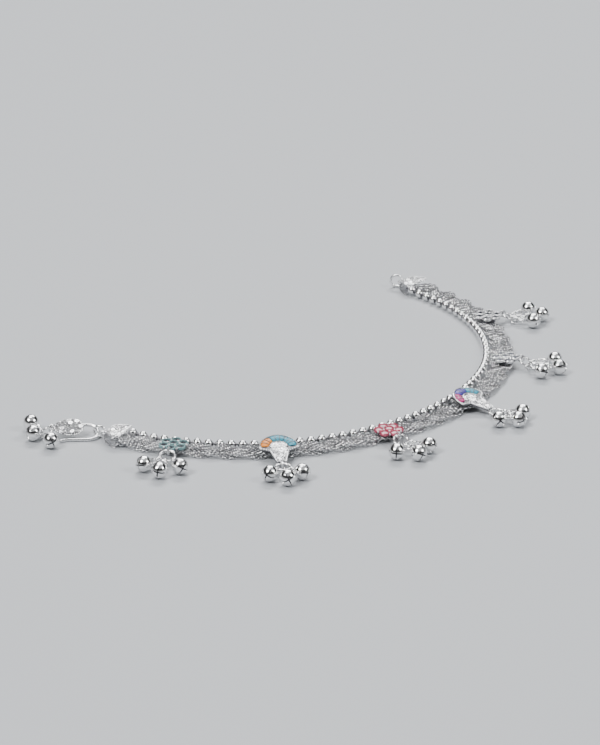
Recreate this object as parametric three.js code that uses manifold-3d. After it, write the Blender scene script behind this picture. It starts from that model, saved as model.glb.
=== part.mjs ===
// A payal anklet lying open on a flat surface: a row of round beads with a flat three-strand plait
// beside it, a folded cap at each end, a wire hook with a leaf plate and a tassel, and six motifs,
// each with a ring, three short chains and three round bells. Millimetres, +Z up.
import * as THREE from 'three';
import { mergeVertices } from 'three/addons/utils/BufferGeometryUtils.js';
import Module from 'manifold-3d';

const wasm = await Module();
wasm.setup();

// Route of the bead row, seen from above: a start point, a start heading in degrees, and a few arcs.
// The band bends freely, so these are chosen as the thing lies.
const routeStart = { x: -54.6, y: -12.2, heading: -29 };
const routeArcs = [
  { length: 36, turn: 26.5 },
  { length: 35, turn: 28.5 },
  { length: 28, turn: 18.5 },
  { length: 37, turn: 25 },
  { length: 17, turn: 14 },
  { length: 69, turn: 53.5 },
];

// Bead row
const beadDiameter = 2.5;
const beadPitch = 3.5;
const beadNeckDiameter = 0.8;
const beadSides = 10;

// Plait of three flat strands
const strandWidth = 2;
const strandThickness = 0.65;
const plaitReach = 2.4;
const plaitRise = 0.8;
const plaitTurns = 9;
const stepsPerTurn = 8;
const bandGap = 0.3;

// Folded end caps
const capPlate = 0.4;
const capLength = 5.6;
const capTipWidth = 4.2;
const capCover = 1.4;
const capLift = 0.6;
const capRamp = 9;
const lugDiameter = 3;
const lugWire = 0.7;
const foldCorner = 0.3;

// Wire rings and links
const linkSides = 10;
const linkWireSides = 5;
const linkWire = 0.55;
const linkWidth = 2.4;
const flowerChainLength = 5.6;
const fanChainLength = 4.3;
const tasselChainLength = 4.2;
const middleChainExtra = 2.3;
const dropRingWire = 0.7;
const dropRingWidth = 5.3;
const dropRingDepth = 4.6;
const endRingDiameter = 4.8;
const endRingWire = 0.8;
const hookRingDiameter = 4.2;
const hookRingWire = 0.7;
const tasselRingDiameter = 4.6;
const solderDepth = 0.12;
const linkPlay = 0.35;
const pieceGap = 0.3;

// Bells
const bellDiameter = 5;
const bellSides = 10;
const bellLatitudes = [-58, -20, 20, 58];
const eyeWire = 0.5;
const eyeWidth = 2.05;
const eyeRoot = 0.8;

// Flower motifs: six round collets in a ring, and a seventh that stands a little higher
const flowerDiameter = 9.2;
const flowerThickness = 1;
const middleRise = 0.35;
const colletTableShare = 0.6;
const middleSides = 8;

// Fan motifs: an arch with enamel round a worked plate that narrows to a tongue
const fanWidth = 12;
const fanLength = 7.6;
const fanThickness = 0.8;
const fanWaistWidth = 6;
const fanTongueWidth = 3;
const fanTongueLength = 5.6;
const fanTongueRoot = 0.6;
const fanTongueClear = 0.6;
const archOverhang = 5;
const enamelWidth = 2.3;
const enamelHeight = 0.45;
const enamelMargin = 0.35;
const enamelSweep = 48;
const enamelSpacing = 58;

// The bail of a motif or lug of a plate, which holds a ring
const bailWire = 0.6;
const bailDiameter = 2.6;

// Hook clasp
const hookWire = 0.95;
const hookLength = 14;
const hookWidth = 7;
const hookTilt = 24;
const leafLength = 9;
const leafWidth = 6.4;
const leafThickness = 1.2;
const leafFromEnd = 5;
const leafSides = 10;
const hookTipShort = 2.4;
const hookFlare = 1.1;

// How the loose pieces at the ends lie, in degrees from the piece that holds them
const endRingTurn = 40;
const hookRingTurn = 15;
const hookTurn = 14;
const tasselTurn = -64;

// Motifs in order from the hook's end: where each sits along the bead row, and how far its drop swings
const motifs = [
  { name: 'flower_1', kind: 'flower', station: 18, swing: 5 },
  { name: 'fan_1', kind: 'fan', station: 47.5, swing: 0 },
  { name: 'flower_2', kind: 'flower', station: 81.2, swing: -8 },
  { name: 'fan_2', kind: 'fan', station: 114.3, swing: -18 },
  { name: 'flower_3', kind: 'flower', station: 149.3, swing: -18 },
  { name: 'flower_4', kind: 'flower', station: 184.5, swing: -14 },
];

// Chains on a ring: where each leaves the ring and the way it heads, in degrees. The middle bell of
// the tassel hangs on the ring itself, so its chain has no length
const tasselChains = [
  { side: 'left', leaves: -62, heading: -80, length: tasselChainLength },
  { side: 'middle', leaves: 0, heading: 0, length: 0 },
  { side: 'right', leaves: 62, heading: 80, length: tasselChainLength },
];

const silver = { color: 0xd8dadc, metalness: 1, roughness: 0.22 };
const wornSilver = { color: 0xc4c6c8, metalness: 1, roughness: 0.38 };
const degrees = Math.PI / 180;

const beadRadius = beadDiameter / 2;
const bellRadius = bellDiameter / 2;
const routeLength = routeArcs.reduce((sum, arc) => sum + arc.length, 0);
const plaitHalfWidth = plaitReach + strandWidth / 2;
const plaitThickness = 2 * plaitRise + strandThickness;
const plaitAcross = beadRadius + bandGap + plaitHalfWidth;
const bandOuter = plaitAcross + plaitHalfWidth;
const bandWidth = bandOuter + beadRadius;
const floorGap = 0.05;
const plaitHeight = floorGap + plaitThickness / 2;
const motifBase = floorGap + plaitThickness + pieceGap;
const motifInner = beadRadius + pieceGap;

const anklet = new THREE.Group();

// The point and heading at a distance along the bead row, straight on past either end
function routeAt(distance) {
  let { x, y } = routeStart;
  let heading = routeStart.heading * degrees;
  let left = distance;
  routeArcs.forEach((arc, index) => {
    const last = index === routeArcs.length - 1;
    const span = last ? Math.max(left, 0) : Math.min(Math.max(left, 0), arc.length);
    const curved = Math.min(span, arc.length);
    const turn = (arc.turn * degrees * curved) / arc.length;
    const chord = turn === 0 ? curved : (2 * curved * Math.sin(turn / 2)) / turn;
    x += chord * Math.cos(heading + turn / 2);
    y += chord * Math.sin(heading + turn / 2);
    heading += turn;
    x += (span - curved) * Math.cos(heading);
    y += (span - curved) * Math.sin(heading);
    left -= arc.length;
  });
  const before = Math.min(distance, 0);
  x += before * Math.cos(heading);
  y += before * Math.sin(heading);
  return { x, y, heading };
}

// How far the band lifts off the surface near its ends, to pass over the caps' lower plates
function lift(distance) {
  const fromEnd = Math.min(distance, routeLength - distance);
  const share = Math.min(Math.max(fromEnd / capRamp, 0), 1);
  return capLift * (1 - share * share * (3 - 2 * share));
}

// Bends a straight geometry onto the route: its Y runs along, X across and Z up
function bendOntoRoute(geometry, shift) {
  const position = geometry.attributes.position;
  for (let i = 0; i < position.count; i += 1) {
    const along = position.getY(i);
    const { x, y, heading } = routeAt(along);
    const moved = shift(along);
    const across = position.getX(i) + moved.across;
    const up = position.getZ(i) + moved.up + lift(along);
    position.setXYZ(i, x + across * Math.sin(heading), y - across * Math.cos(heading), up);
  }
  return geometry;
}

// A closed geometry with its shared vertices merged, as a solid that can be joined and cut
function toSolid(geometry) {
  const bare = geometry.clone();
  bare.deleteAttribute('normal');
  bare.deleteAttribute('uv');
  const merged = mergeVertices(bare, 1e-4);
  return new wasm.Manifold(new wasm.Mesh({
    numProp: 3,
    vertProperties: new Float32Array(merged.attributes.position.array),
    triVerts: new Uint32Array(merged.index.array),
  }));
}

function toGeometry(solid) {
  const mesh = solid.getMesh();
  const geometry = new THREE.BufferGeometry();
  geometry.setAttribute('position', new THREE.BufferAttribute(mesh.vertProperties.slice(), 3));
  geometry.setIndex(new THREE.BufferAttribute(mesh.triVerts.slice(), 1));
  geometry.computeVertexNormals();
  return geometry;
}

function join(geometries) {
  return toGeometry(geometries.map(toSolid).reduce((whole, piece) => whole.add(piece)));
}

function addPiece(parent, name, geometry, look) {
  const mesh = new THREE.Mesh(geometry, new THREE.MeshStandardMaterial(look));
  mesh.name = name;
  parent.add(mesh);
  return mesh;
}

// Places a geometry made round its origin: its X goes along, its Z becomes the normal
function place(geometry, centre, along, normal) {
  const across = new THREE.Vector3().crossVectors(normal, along);
  const matrix = new THREE.Matrix4().makeBasis(along, across, normal).setPosition(centre);
  return geometry.clone().applyMatrix4(matrix);
}

// A wire link in the XY plane, its long side along X, with round ends and straight sides
function wireLink(length, width, wire) {
  const link = new THREE.TorusGeometry((width - wire) / 2, wire / 2, linkWireSides, linkSides);
  const stretch = (length - width) / 2;
  const position = link.attributes.position;
  for (let i = 0; i < position.count; i += 1) {
    position.setX(i, position.getX(i) + Math.sign(position.getX(i)) * stretch);
  }
  return link;
}

// A wire of a few sides along a smooth curve through points
function bentWire(points, wire, sides, steps) {
  const corners = points.map(([x, y, z]) => new THREE.Vector3(x, y, z));
  const section = new THREE.Shape();
  for (let i = 0; i < sides; i += 1) {
    const angle = (2 * Math.PI * (i + 0.5)) / sides;
    const corner = [(wire / 2) * Math.cos(angle), (wire / 2) * Math.sin(angle)];
    if (i === 0) section.moveTo(...corner);
    else section.lineTo(...corner);
  }
  section.closePath();
  const extrudePath = new THREE.CatmullRomCurve3(corners, false, 'centripetal');
  return new THREE.ExtrudeGeometry(section, { extrudePath, steps, bevelEnabled: false });
}

// The bead row is turned as one straight string of beads and necks, then bent onto the route
function beadChain() {
  const count = Math.floor((routeLength - 2 * capCover) / beadPitch);
  const first = (routeLength - (count - 1) * beadPitch) / 2;
  const neck = beadNeckDiameter / 2;
  const slant = Math.SQRT1_2 * beadRadius;
  const profile = [new THREE.Vector2(0, 0), new THREE.Vector2(neck, 0)];
  for (let i = 0; i < count; i += 1) {
    const middle = first + i * beadPitch;
    if (i > 0) profile.push(new THREE.Vector2(neck, middle - beadPitch / 2));
    profile.push(new THREE.Vector2(slant, middle - slant));
    profile.push(new THREE.Vector2(beadRadius, middle));
    profile.push(new THREE.Vector2(slant, middle + slant));
  }
  profile.push(new THREE.Vector2(neck, routeLength), new THREE.Vector2(0, routeLength));
  const string = new THREE.LatheGeometry(profile, beadSides);
  return bendOntoRoute(string, () => ({ across: 0, up: beadRadius }));
}

// A strand is a flat six-sided bar that swings across and over in the plait's rhythm
function plaitStrand(index) {
  const halfWidth = strandWidth / 2;
  const halfThickness = strandThickness / 2;
  const shoulder = 0.6 * halfWidth;
  const section = new THREE.Shape([
    new THREE.Vector2(-halfWidth, 0),
    new THREE.Vector2(-shoulder, -halfThickness),
    new THREE.Vector2(shoulder, -halfThickness),
    new THREE.Vector2(halfWidth, 0),
    new THREE.Vector2(shoulder, halfThickness),
    new THREE.Vector2(-shoulder, halfThickness),
  ]);
  const steps = plaitTurns * stepsPerTurn;
  const bar = new THREE.ExtrudeGeometry(section, { depth: routeLength, steps, bevelEnabled: false });
  bar.rotateX(-Math.PI / 2);
  const phase = (2 * Math.PI * index) / 3;
  return bendOntoRoute(bar, (along) => {
    const angle = (2 * Math.PI * plaitTurns * along) / routeLength + phase;
    return {
      across: plaitAcross + plaitReach * Math.sin(angle),
      up: plaitHeight + plaitRise * Math.sin(2 * angle),
    };
  });
}

// A cap is a strip folded over at its tip, cut to a taper, with a lug for the ring. It points along -X
function endCap() {
  const height = capTop();
  const fold = height / 2;
  const side = new THREE.Shape();
  side.moveTo(capLength, 0);
  side.lineTo(fold, 0);
  side.lineTo(foldCorner * fold, foldCorner * fold);
  side.lineTo(0, fold);
  side.lineTo(foldCorner * fold, height - foldCorner * fold);
  side.lineTo(fold, height);
  side.lineTo(capLength, height);
  side.lineTo(capLength, height - capPlate);
  side.lineTo(fold, height - capPlate);
  side.lineTo(2 * capPlate, fold);
  side.lineTo(fold, capPlate);
  side.lineTo(capLength, capPlate);
  const mouth = bandWidth + 2 * pieceGap;
  const strip = new THREE.ExtrudeGeometry(side, { depth: 2 * mouth, bevelEnabled: false });
  strip.rotateX(Math.PI / 2);
  strip.translate(0, mouth, 0);
  const plan = new THREE.Shape([
    new THREE.Vector2(-1, -capTipWidth / 2),
    new THREE.Vector2(capLength - capCover, -mouth / 2),
    new THREE.Vector2(capLength + 1, -mouth / 2),
    new THREE.Vector2(capLength + 1, mouth / 2),
    new THREE.Vector2(capLength - capCover, mouth / 2),
    new THREE.Vector2(-1, capTipWidth / 2),
  ]);
  const taper = new THREE.ExtrudeGeometry(plan, { depth: 2 * height, bevelEnabled: false });
  taper.translate(0, 0, -height / 2);
  const lug = new THREE.TorusGeometry(lugReach(), lugWire / 2, 4, 8);
  lug.translate(-lugReach() + solderDepth, 0, fold);
  return toGeometry(toSolid(strip).intersect(toSolid(taper)).add(toSolid(lug)));
}

// From the middle of a lug's hole to the middle of its wire
function lugReach() {
  return (lugDiameter - lugWire) / 2;
}

function capTop() {
  return capLift + floorGap + plaitThickness + pieceGap + capPlate;
}

// A bell is a turned ball round the origin with a wire eye on its +X side
function bell() {
  const profile = [new THREE.Vector2(0, -bellRadius)];
  for (const angle of bellLatitudes) {
    const turn = angle * degrees;
    profile.push(new THREE.Vector2(bellRadius * Math.cos(turn), bellRadius * Math.sin(turn)));
  }
  profile.push(new THREE.Vector2(0, bellRadius));
  const ball = new THREE.LatheGeometry(profile, bellSides);
  ball.rotateZ(-Math.PI / 2);
  const root = bellRadius - eyeRoot;
  const tip = bellRadius + eyeStand();
  const half = (eyeWidth - eyeWire) / 2;
  const shoulder = tip - half;
  const arch = bentWire([
    [root, -half, 0], [shoulder, -half, 0], [tip, 0, 0], [shoulder, half, 0], [root, half, 0],
  ], eyeWire, 4, 4);
  return join([ball, arch]);
}

// From the bell's skin to the middle of its eye's wire, with room for a link
function eyeStand() {
  return eyeWire / 2 + linkWire + 2 * linkPlay;
}

// A motif's three chains, the middle one longer than the outer two
function dropChains(length) {
  return [
    { side: 'left', leaves: -45, heading: -30, length },
    { side: 'middle', leaves: 0, heading: 0, length: length + middleChainExtra },
    { side: 'right', leaves: 45, heading: 30, length },
  ];
}

// A ring with its chains. The ring hangs from a point above the origin and dips towards -Y. Each chain
// is one long loop of wire. Returns the fused wires, and where each bell goes
function ringWithChains(ring, chains) {
  const radius = (ring.depth - ring.wire) / 2;
  const stretch = (ring.width - ring.depth) / 2;
  const dip = Math.asin((ring.height - ring.farHeight) / (2 * radius));
  const forward = new THREE.Vector3(0, -Math.cos(dip), -Math.sin(dip));
  const sideways = new THREE.Vector3(-1, 0, 0);
  const ringNormal = new THREE.Vector3().crossVectors(sideways, forward);
  const centre = new THREE.Vector3(0, 0, ring.height).addScaledVector(forward, radius);
  const pieces = [place(wireLink(ring.width, ring.depth, ring.wire), centre, sideways, ringNormal)];
  const bells = chains.map((chain) => {
    const leaves = chain.leaves * degrees;
    const reach = radius * Math.sin(leaves) + Math.sign(chain.leaves) * stretch;
    const start = centre.clone().addScaledVector(forward, radius * Math.cos(leaves));
    start.addScaledVector(sideways, reach);
    const wireWay = sideways.clone().multiplyScalar(Math.cos(leaves));
    wireWay.addScaledVector(forward, -Math.sin(leaves));
    return { side: chain.side, matrix: hangChain(chain, start, wireWay, ring, pieces) };
  });
  return { geometry: join(pieces), bells };
}

// Adds a chain's loop to pieces, and returns the place of the bell whose eye it holds
function hangChain(chain, start, wireWay, ring, pieces) {
  const hasLoop = chain.length > 0;
  const held = hasLoop ? linkWire : ring.wire;
  const tipToTip = chain.length - linkWire;
  const loopReach = hasLoop ? tipToTip - (ring.wire + linkWire) / 2 + solderDepth : 0;
  const eyeStep = bellRadius + eyeStand() - (held + eyeWire) / 2 - linkPlay;
  const rise = Math.asin((bellRadius - start.z) / (loopReach + eyeStep));
  const heading = chain.heading * degrees;
  const along = new THREE.Vector3(
    -Math.sin(heading) * Math.cos(rise),
    -Math.cos(heading) * Math.cos(rise),
    Math.sin(rise),
  );
  const normal = wireWay.clone().addScaledVector(along, -wireWay.dot(along)).normalize();
  if (hasLoop) {
    const middle = start.clone().addScaledVector(along, loopReach - tipToTip / 2);
    pieces.push(place(wireLink(chain.length, linkWidth, linkWire), middle, along, normal));
    normal.crossVectors(along, normal);
  }
  const bellCentre = start.clone().addScaledVector(along, loopReach + eyeStep);
  const back = along.clone().negate();
  const across = new THREE.Vector3().crossVectors(normal, back);
  return new THREE.Matrix4().makeBasis(back, across, normal).setPosition(bellCentre);
}

// A loop of wire that stands upright across X and holds a ring, its middle at the origin
function bail() {
  const loop = new THREE.TorusGeometry((bailDiameter - bailWire) / 2, bailWire / 2, 4, 8);
  loop.rotateY(Math.PI / 2);
  return loop;
}

// The flower lies flat, with its middle at the origin and its bail on the -Y side: a low plate in
// the outline of six round collets, with a seventh raised in the middle
function flower() {
  const colletRadius = flowerDiameter / 6;
  const outline = new THREE.Shape();
  for (let i = 0; i < 6; i += 1) {
    const angle = (i * 60 + 30) * degrees;
    const reach = flowerDiameter / 2 - colletRadius;
    const x = reach * Math.cos(angle);
    const y = reach * Math.sin(angle);
    outline.absarc(x, y, colletRadius, angle - Math.PI / 2, angle + Math.PI / 2, false);
  }
  outline.closePath();
  const plate = new THREE.ExtrudeGeometry(outline, {
    depth: flowerThickness, bevelEnabled: false, curveSegments: 3,
  });
  const middle = new THREE.CylinderGeometry(
    colletTableShare * colletRadius, colletRadius, middleRise + solderDepth, middleSides,
  );
  middle.rotateX(Math.PI / 2);
  middle.translate(0, 0, flowerThickness + (middleRise - solderDepth) / 2);
  return join([plate, middle, bail().translate(0, -flowerBailReach(), flowerThickness / 2)]);
}

function flowerBailReach() {
  return flowerDiameter / 2 + bailDiameter / 2 - bailWire - solderDepth;
}

// The fan slopes from its arch, towards +Y, down to its tongue near the surface
function fan() {
  const archRadius = fanWidth / 2;
  const outline = new THREE.Shape();
  outline.moveTo(-fanWaistWidth / 2, 0);
  outline.lineTo(fanWaistWidth / 2, 0);
  const from = -archOverhang * degrees;
  outline.absarc(0, fanLength - archRadius, archRadius, from, Math.PI - from, false);
  outline.closePath();
  const plate = new THREE.ExtrudeGeometry(outline, {
    depth: fanThickness, bevelEnabled: false, curveSegments: 8,
  });
  const pieces = [plate];
  for (const arm of [-1, 0, 1]) {
    const pad = enamelPad(archRadius, 90 + arm * enamelSpacing);
    pieces.push(pad.translate(0, fanLength - archRadius, fanThickness / 2));
  }
  const tongue = new THREE.Shape([
    new THREE.Vector2(-fanTongueWidth / 2, -fanTongueLength),
    new THREE.Vector2(fanTongueWidth / 2, -fanTongueLength),
    new THREE.Vector2(fanWaistWidth / 2, fanTongueRoot),
    new THREE.Vector2(-fanWaistWidth / 2, fanTongueRoot),
  ]);
  const taper = new THREE.ExtrudeGeometry(tongue, { depth: fanThickness, bevelEnabled: false });
  pieces.push(taper);
  const end = fanBailPlace();
  const flat = join(pieces).rotateX(fanSlope());
  return join([flat, bail().translate(0, end.y, end.z)]);
}

// A raised pad of enamel along part of the arch, round a heading in degrees
function enamelPad(archRadius, heading) {
  const inner = archRadius - enamelWidth;
  const from = (heading - enamelSweep / 2) * degrees;
  const to = (heading + enamelSweep / 2) * degrees;
  const pad = new THREE.Shape();
  pad.absarc(0, 0, archRadius - enamelMargin, from, to, false);
  pad.absarc(0, 0, inner, to, from, true);
  pad.closePath();
  const height = fanThickness / 2 + enamelHeight;
  return new THREE.ExtrudeGeometry(pad, { depth: height, bevelEnabled: false, curveSegments: 2 });
}

// The fan slopes by this angle, so that its tongue comes down to the drop ring
function fanSlope() {
  return Math.asin((motifBase - fanTongueClear) / (fanTongueLength + bailDiameter));
}

function fanBailPlace() {
  const reach = fanTongueLength + bailDiameter / 2 - bailWire;
  const lower = fanThickness / 2;
  const slope = fanSlope();
  return {
    y: -reach * Math.cos(slope) - lower * Math.sin(slope),
    z: -reach * Math.sin(slope) + lower * Math.cos(slope),
  };
}

// A motif with its drop, in a frame at its station: +X along the band and -Y outwards
function addMotif(motif, index) {
  const { x, y, heading } = routeAt(motif.station);
  const station = new THREE.Group();
  station.position.set(x, y, 0);
  station.rotation.z = heading;
  anklet.add(station);
  const isFlower = motif.kind === 'flower';
  const geometry = isFlower ? flower() : fan();
  const middle = isFlower ? -motifInner - flowerDiameter / 2 : -motifInner - fanLength;
  const mesh = addPiece(station, motif.name, geometry, silver);
  mesh.position.set(0, middle, motifBase);
  const hold = isFlower
    ? { y: -flowerBailReach(), z: flowerThickness / 2 }
    : fanBailPlace();
  const drop = new THREE.Group();
  drop.position.set(0, middle + hold.y, 0);
  drop.rotation.z = motif.swing * degrees;
  station.add(drop);
  const ring = {
    width: dropRingWidth, depth: dropRingDepth, wire: dropRingWire,
    height: motifBase + hold.z, farHeight: linkWidth / 2,
  };
  const hung = ringWithChains(ring, dropChains(isFlower ? flowerChainLength : fanChainLength));
  addPiece(drop, `drop_links_${index + 1}`, hung.geometry, silver);
  addBells(drop, hung.bells, `bell_${index + 1}`);
}

function addBells(parent, bells, name) {
  for (const { side, matrix } of bells) {
    const mesh = addPiece(parent, `${name}_${side}`, bell(), silver);
    mesh.applyMatrix4(matrix);
  }
}

// A cap at one end of the band. Its frame has -X away from the band
function addCap(name, atStart) {
  const end = routeAt(atStart ? 0 : routeLength);
  const frame = new THREE.Group();
  frame.position.set(end.x, end.y, 0);
  frame.rotation.z = end.heading + (atStart ? 0 : Math.PI);
  anklet.add(frame);
  const across = (atStart ? -1 : 1) * (bandOuter - bandWidth / 2);
  const mesh = addPiece(frame, name, endCap(), wornSilver);
  mesh.position.set(capCover - capLength, across, 0);
  const lug = new THREE.Vector3(mesh.position.x - lugReach() + solderDepth, across, capTop() / 2);
  return { frame, lug };
}

// A ring that stands on the surface and passes through a cap's lug. Returns its frame, which has the
// lug's hole at its origin and the ring along -X
function addLugRing(cap, name, diameter, wire, turn) {
  const frame = new THREE.Group();
  frame.position.set(cap.lug.x, cap.lug.y, 0);
  frame.rotation.z = turn * degrees;
  cap.frame.add(frame);
  const radius = (diameter - wire) / 2;
  const ring = wireLink(diameter, diameter, wire).rotateX(Math.PI / 2);
  const mesh = addPiece(frame, name, ring, silver);
  const lower = cap.lug.z - diameter / 2;
  mesh.position.set(-Math.sqrt(radius * radius - lower * lower), 0, diameter / 2);
  return { frame, far: mesh.position.x - radius };
}

// The hook's wire bent back on itself, with its bend at the origin and its arms along -X, and the
// domed leaf plate soldered on its upper arm. It leans up towards +Y
function hookClasp() {
  const radius = (hookWidth - hookWire) / 2;
  const arm = hookLength - radius;
  const lean = hookTilt * degrees;
  const tip = [hookTipShort - hookLength, -radius - hookFlare, hookFlare * Math.tan(lean)];
  const points = [tip, [-arm + hookTipShort, -radius, 0]];
  for (const angle of [-90, -60, -30, 0, 30, 60, 90]) {
    points.push([radius * (Math.cos(angle * degrees) - 1), radius * Math.sin(angle * degrees), 0]);
  }
  points.push([-arm, radius, 0], [-hookLength, radius - hookFlare, 0]);
  const leaf = new THREE.LatheGeometry([
    new THREE.Vector2(0, 0), new THREE.Vector2(1, 0), new THREE.Vector2(0.94, 0.45),
    new THREE.Vector2(0.6, 0.85), new THREE.Vector2(0, 1),
  ], leafSides);
  leaf.rotateX(Math.PI / 2);
  leaf.scale(leafLength / 2, leafWidth / 2, leafThickness);
  const seat = leafSeat();
  leaf.translate(seat.x, seat.y, seat.z);
  const pieces = [bentWire(points, hookWire, 6, 16).rotateX(lean), leaf.rotateX(lean)];
  const hold = tasselHold();
  pieces.push(bail().rotateZ(tasselTurn * degrees).translate(hold.x, hold.y, hold.z));
  return join(pieces);
}

function leafSeat() {
  const armAcross = (hookWidth - hookWire) / 2;
  return { x: leafFromEnd - hookLength, y: armAcross - leafWidth / 4, z: hookWire / 2 - solderDepth };
}

// The middle of the bail at the leaf's far end, in the hook's frame
function tasselHold() {
  const lean = hookTilt * degrees;
  const seat = leafSeat();
  const middle = seat.z + leafThickness / 4;
  const out = bailDiameter / 2 - bailWire;
  const turn = tasselTurn * degrees;
  return {
    x: seat.x - leafLength / 2 - out * Math.sin(-turn),
    y: seat.y * Math.cos(lean) - middle * Math.sin(lean) - out * Math.cos(turn),
    z: seat.y * Math.sin(lean) + middle * Math.cos(lean),
  };
}

// The hook and its tassel, hung on the hook ring
function addHook(ring) {
  const frame = new THREE.Group();
  const bend = ring.far + (hookRingWire + hookWire) / 2 + 1.5 * pieceGap;
  const lower = ((hookWidth - hookWire) / 2) * Math.sin(hookTilt * degrees);
  frame.position.set(bend, 0, lower + hookWire / 2 + floorGap);
  frame.rotation.z = hookTurn * degrees;
  ring.frame.add(frame);
  addPiece(frame, 'hook_clasp', hookClasp(), silver);
  const hold = tasselHold();
  const tassel = new THREE.Group();
  tassel.position.set(hold.x, hold.y, -frame.position.z);
  tassel.rotation.z = tasselTurn * degrees;
  frame.add(tassel);
  const hung = ringWithChains({
    width: tasselRingDiameter, depth: tasselRingDiameter, wire: dropRingWire,
    height: frame.position.z + hold.z, farHeight: linkWidth / 2,
  }, tasselChains);
  addPiece(tassel, 'tassel_links', hung.geometry, silver);
  addBells(tassel, hung.bells, 'tassel_bell');
}

addPiece(anklet, 'bead_chain', beadChain(), silver);
for (let i = 0; i < 3; i += 1) addPiece(anklet, `braid_strand_${i + 1}`, plaitStrand(i), wornSilver);
motifs.forEach(addMotif);
addLugRing(addCap('ring_end_cap', false), 'end_ring', endRingDiameter, endRingWire, endRingTurn);
const hookEnd = addCap('hook_end_cap', true);
addHook(addLugRing(hookEnd, 'hook_ring', hookRingDiameter, hookRingWire, hookRingTurn));

// The origin is the middle of the bottom of the whole
anklet.updateMatrixWorld(true);
const bounds = new THREE.Box3().setFromObject(anklet, true);
const middle = bounds.getCenter(new THREE.Vector3());
anklet.position.set(-middle.x, -middle.y, -bounds.min.z);

export default anklet;
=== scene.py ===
"""A payal anklet lying open: beads, plait, motifs with bells, caps, hook and tassel.

All shapes are worked out in millimetres in the part's own frame and written in metres.
"""

import logging
from dataclasses import dataclass, field, replace
from enum import Enum
from math import asin, cos, pi, radians, sin, sqrt, tan

import bmesh
import bpy
import numpy as np
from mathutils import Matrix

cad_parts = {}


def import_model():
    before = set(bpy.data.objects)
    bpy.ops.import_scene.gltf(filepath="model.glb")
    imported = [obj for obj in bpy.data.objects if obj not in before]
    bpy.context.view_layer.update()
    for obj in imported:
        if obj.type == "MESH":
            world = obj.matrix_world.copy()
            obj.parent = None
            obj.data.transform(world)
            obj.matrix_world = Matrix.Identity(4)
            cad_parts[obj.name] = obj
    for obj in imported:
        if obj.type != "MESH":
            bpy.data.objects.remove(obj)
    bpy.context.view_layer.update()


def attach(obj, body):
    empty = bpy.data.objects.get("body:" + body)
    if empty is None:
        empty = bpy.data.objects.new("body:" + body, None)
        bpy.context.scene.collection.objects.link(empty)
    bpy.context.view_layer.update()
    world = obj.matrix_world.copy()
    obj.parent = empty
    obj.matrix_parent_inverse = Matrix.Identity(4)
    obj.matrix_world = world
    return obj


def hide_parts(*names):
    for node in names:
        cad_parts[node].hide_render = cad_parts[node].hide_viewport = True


LOG = logging.getLogger("anklet")
MM = 0.001
GOLDEN = 2.399963  # radians: turning by it each time gives every bell's slits their own way


# Transforms

def shift(x: float, y: float, z: float) -> np.ndarray:
    """Returns the 4x4 matrix that moves by x, y, z."""
    matrix = np.eye(4)
    matrix[:3, 3] = (x, y, z)
    return matrix


def turn(axis: int, angle: float) -> np.ndarray:
    """The matrix of a right-handed turn about one of the three axes.

    Args:
        axis: 0, 1 or 2 for X, Y or Z.
        angle: the turn in radians.

    Returns:
        A 4x4 matrix.
    """
    first, second = (axis + 1) % 3, (axis + 2) % 3
    matrix = np.eye(4)
    matrix[first, first] = matrix[second, second] = cos(angle)
    matrix[first, second] = -sin(angle)
    matrix[second, first] = sin(angle)
    return matrix


def frame_of(along: np.ndarray, across: np.ndarray, normal: np.ndarray,
             origin: np.ndarray) -> np.ndarray:
    """Returns the matrix whose columns are the three directions and the origin."""
    matrix = np.eye(4)
    matrix[:3, 0], matrix[:3, 1], matrix[:3, 2], matrix[:3, 3] = along, across, normal, origin
    return matrix


def frames_of(along: np.ndarray, across: np.ndarray, origin: np.ndarray) -> np.ndarray:
    """Many frames at once, with the third direction as the cross product of the first two.

    Args:
        along: unit vectors, one row for each frame.
        across: unit vectors at right angles to along.
        origin: one point for each frame.

    Returns:
        An array of 4x4 matrices.
    """
    matrices = np.tile(np.eye(4), (len(origin), 1, 1))
    matrices[:, :3, 0] = along
    matrices[:, :3, 1] = across
    matrices[:, :3, 2] = np.cross(along, across)
    matrices[:, :3, 3] = origin
    return matrices


def unit(vectors: np.ndarray) -> np.ndarray:
    """Returns the vectors divided by their lengths."""
    return vectors / np.linalg.norm(vectors, axis=-1, keepdims=True)


# Shapes

@dataclass
class Shape:
    """Closed surfaces as points, four-sided and three-sided faces, and a finish number for each."""

    points: np.ndarray
    quads: np.ndarray
    tris: np.ndarray
    quad_look: np.ndarray
    tri_look: np.ndarray

    def moved(self, matrix: np.ndarray) -> "Shape":
        """Returns the shape with a 4x4 matrix applied to its points."""
        return replace(self, points=self.points @ matrix[:3, :3].T + matrix[:3, 3])

    def looking(self, look: int) -> "Shape":
        """Returns the shape with one finish number on all its faces."""
        return replace(self, quad_look=np.full(len(self.quads), look),
                       tri_look=np.full(len(self.tris), look))

    def repeated(self, matrices: np.ndarray) -> "Shape":
        """Copies the shape to many frames: each point is turned and moved by each matrix.

        Args:
            matrices: an array of 4x4 matrices.

        Returns:
            One shape with all the copies.
        """
        count, size = len(matrices), len(self.points)
        points = np.einsum("kij,nj->kni", matrices[:, :3, :3], self.points)
        points = points + matrices[:, None, :3, 3]
        step = (np.arange(count) * size)[:, None, None]
        return Shape(points.reshape(-1, 3), (self.quads[None] + step).reshape(-1, 4),
                     (self.tris[None] + step).reshape(-1, 3),
                     np.tile(self.quad_look, count), np.tile(self.tri_look, count))


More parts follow.
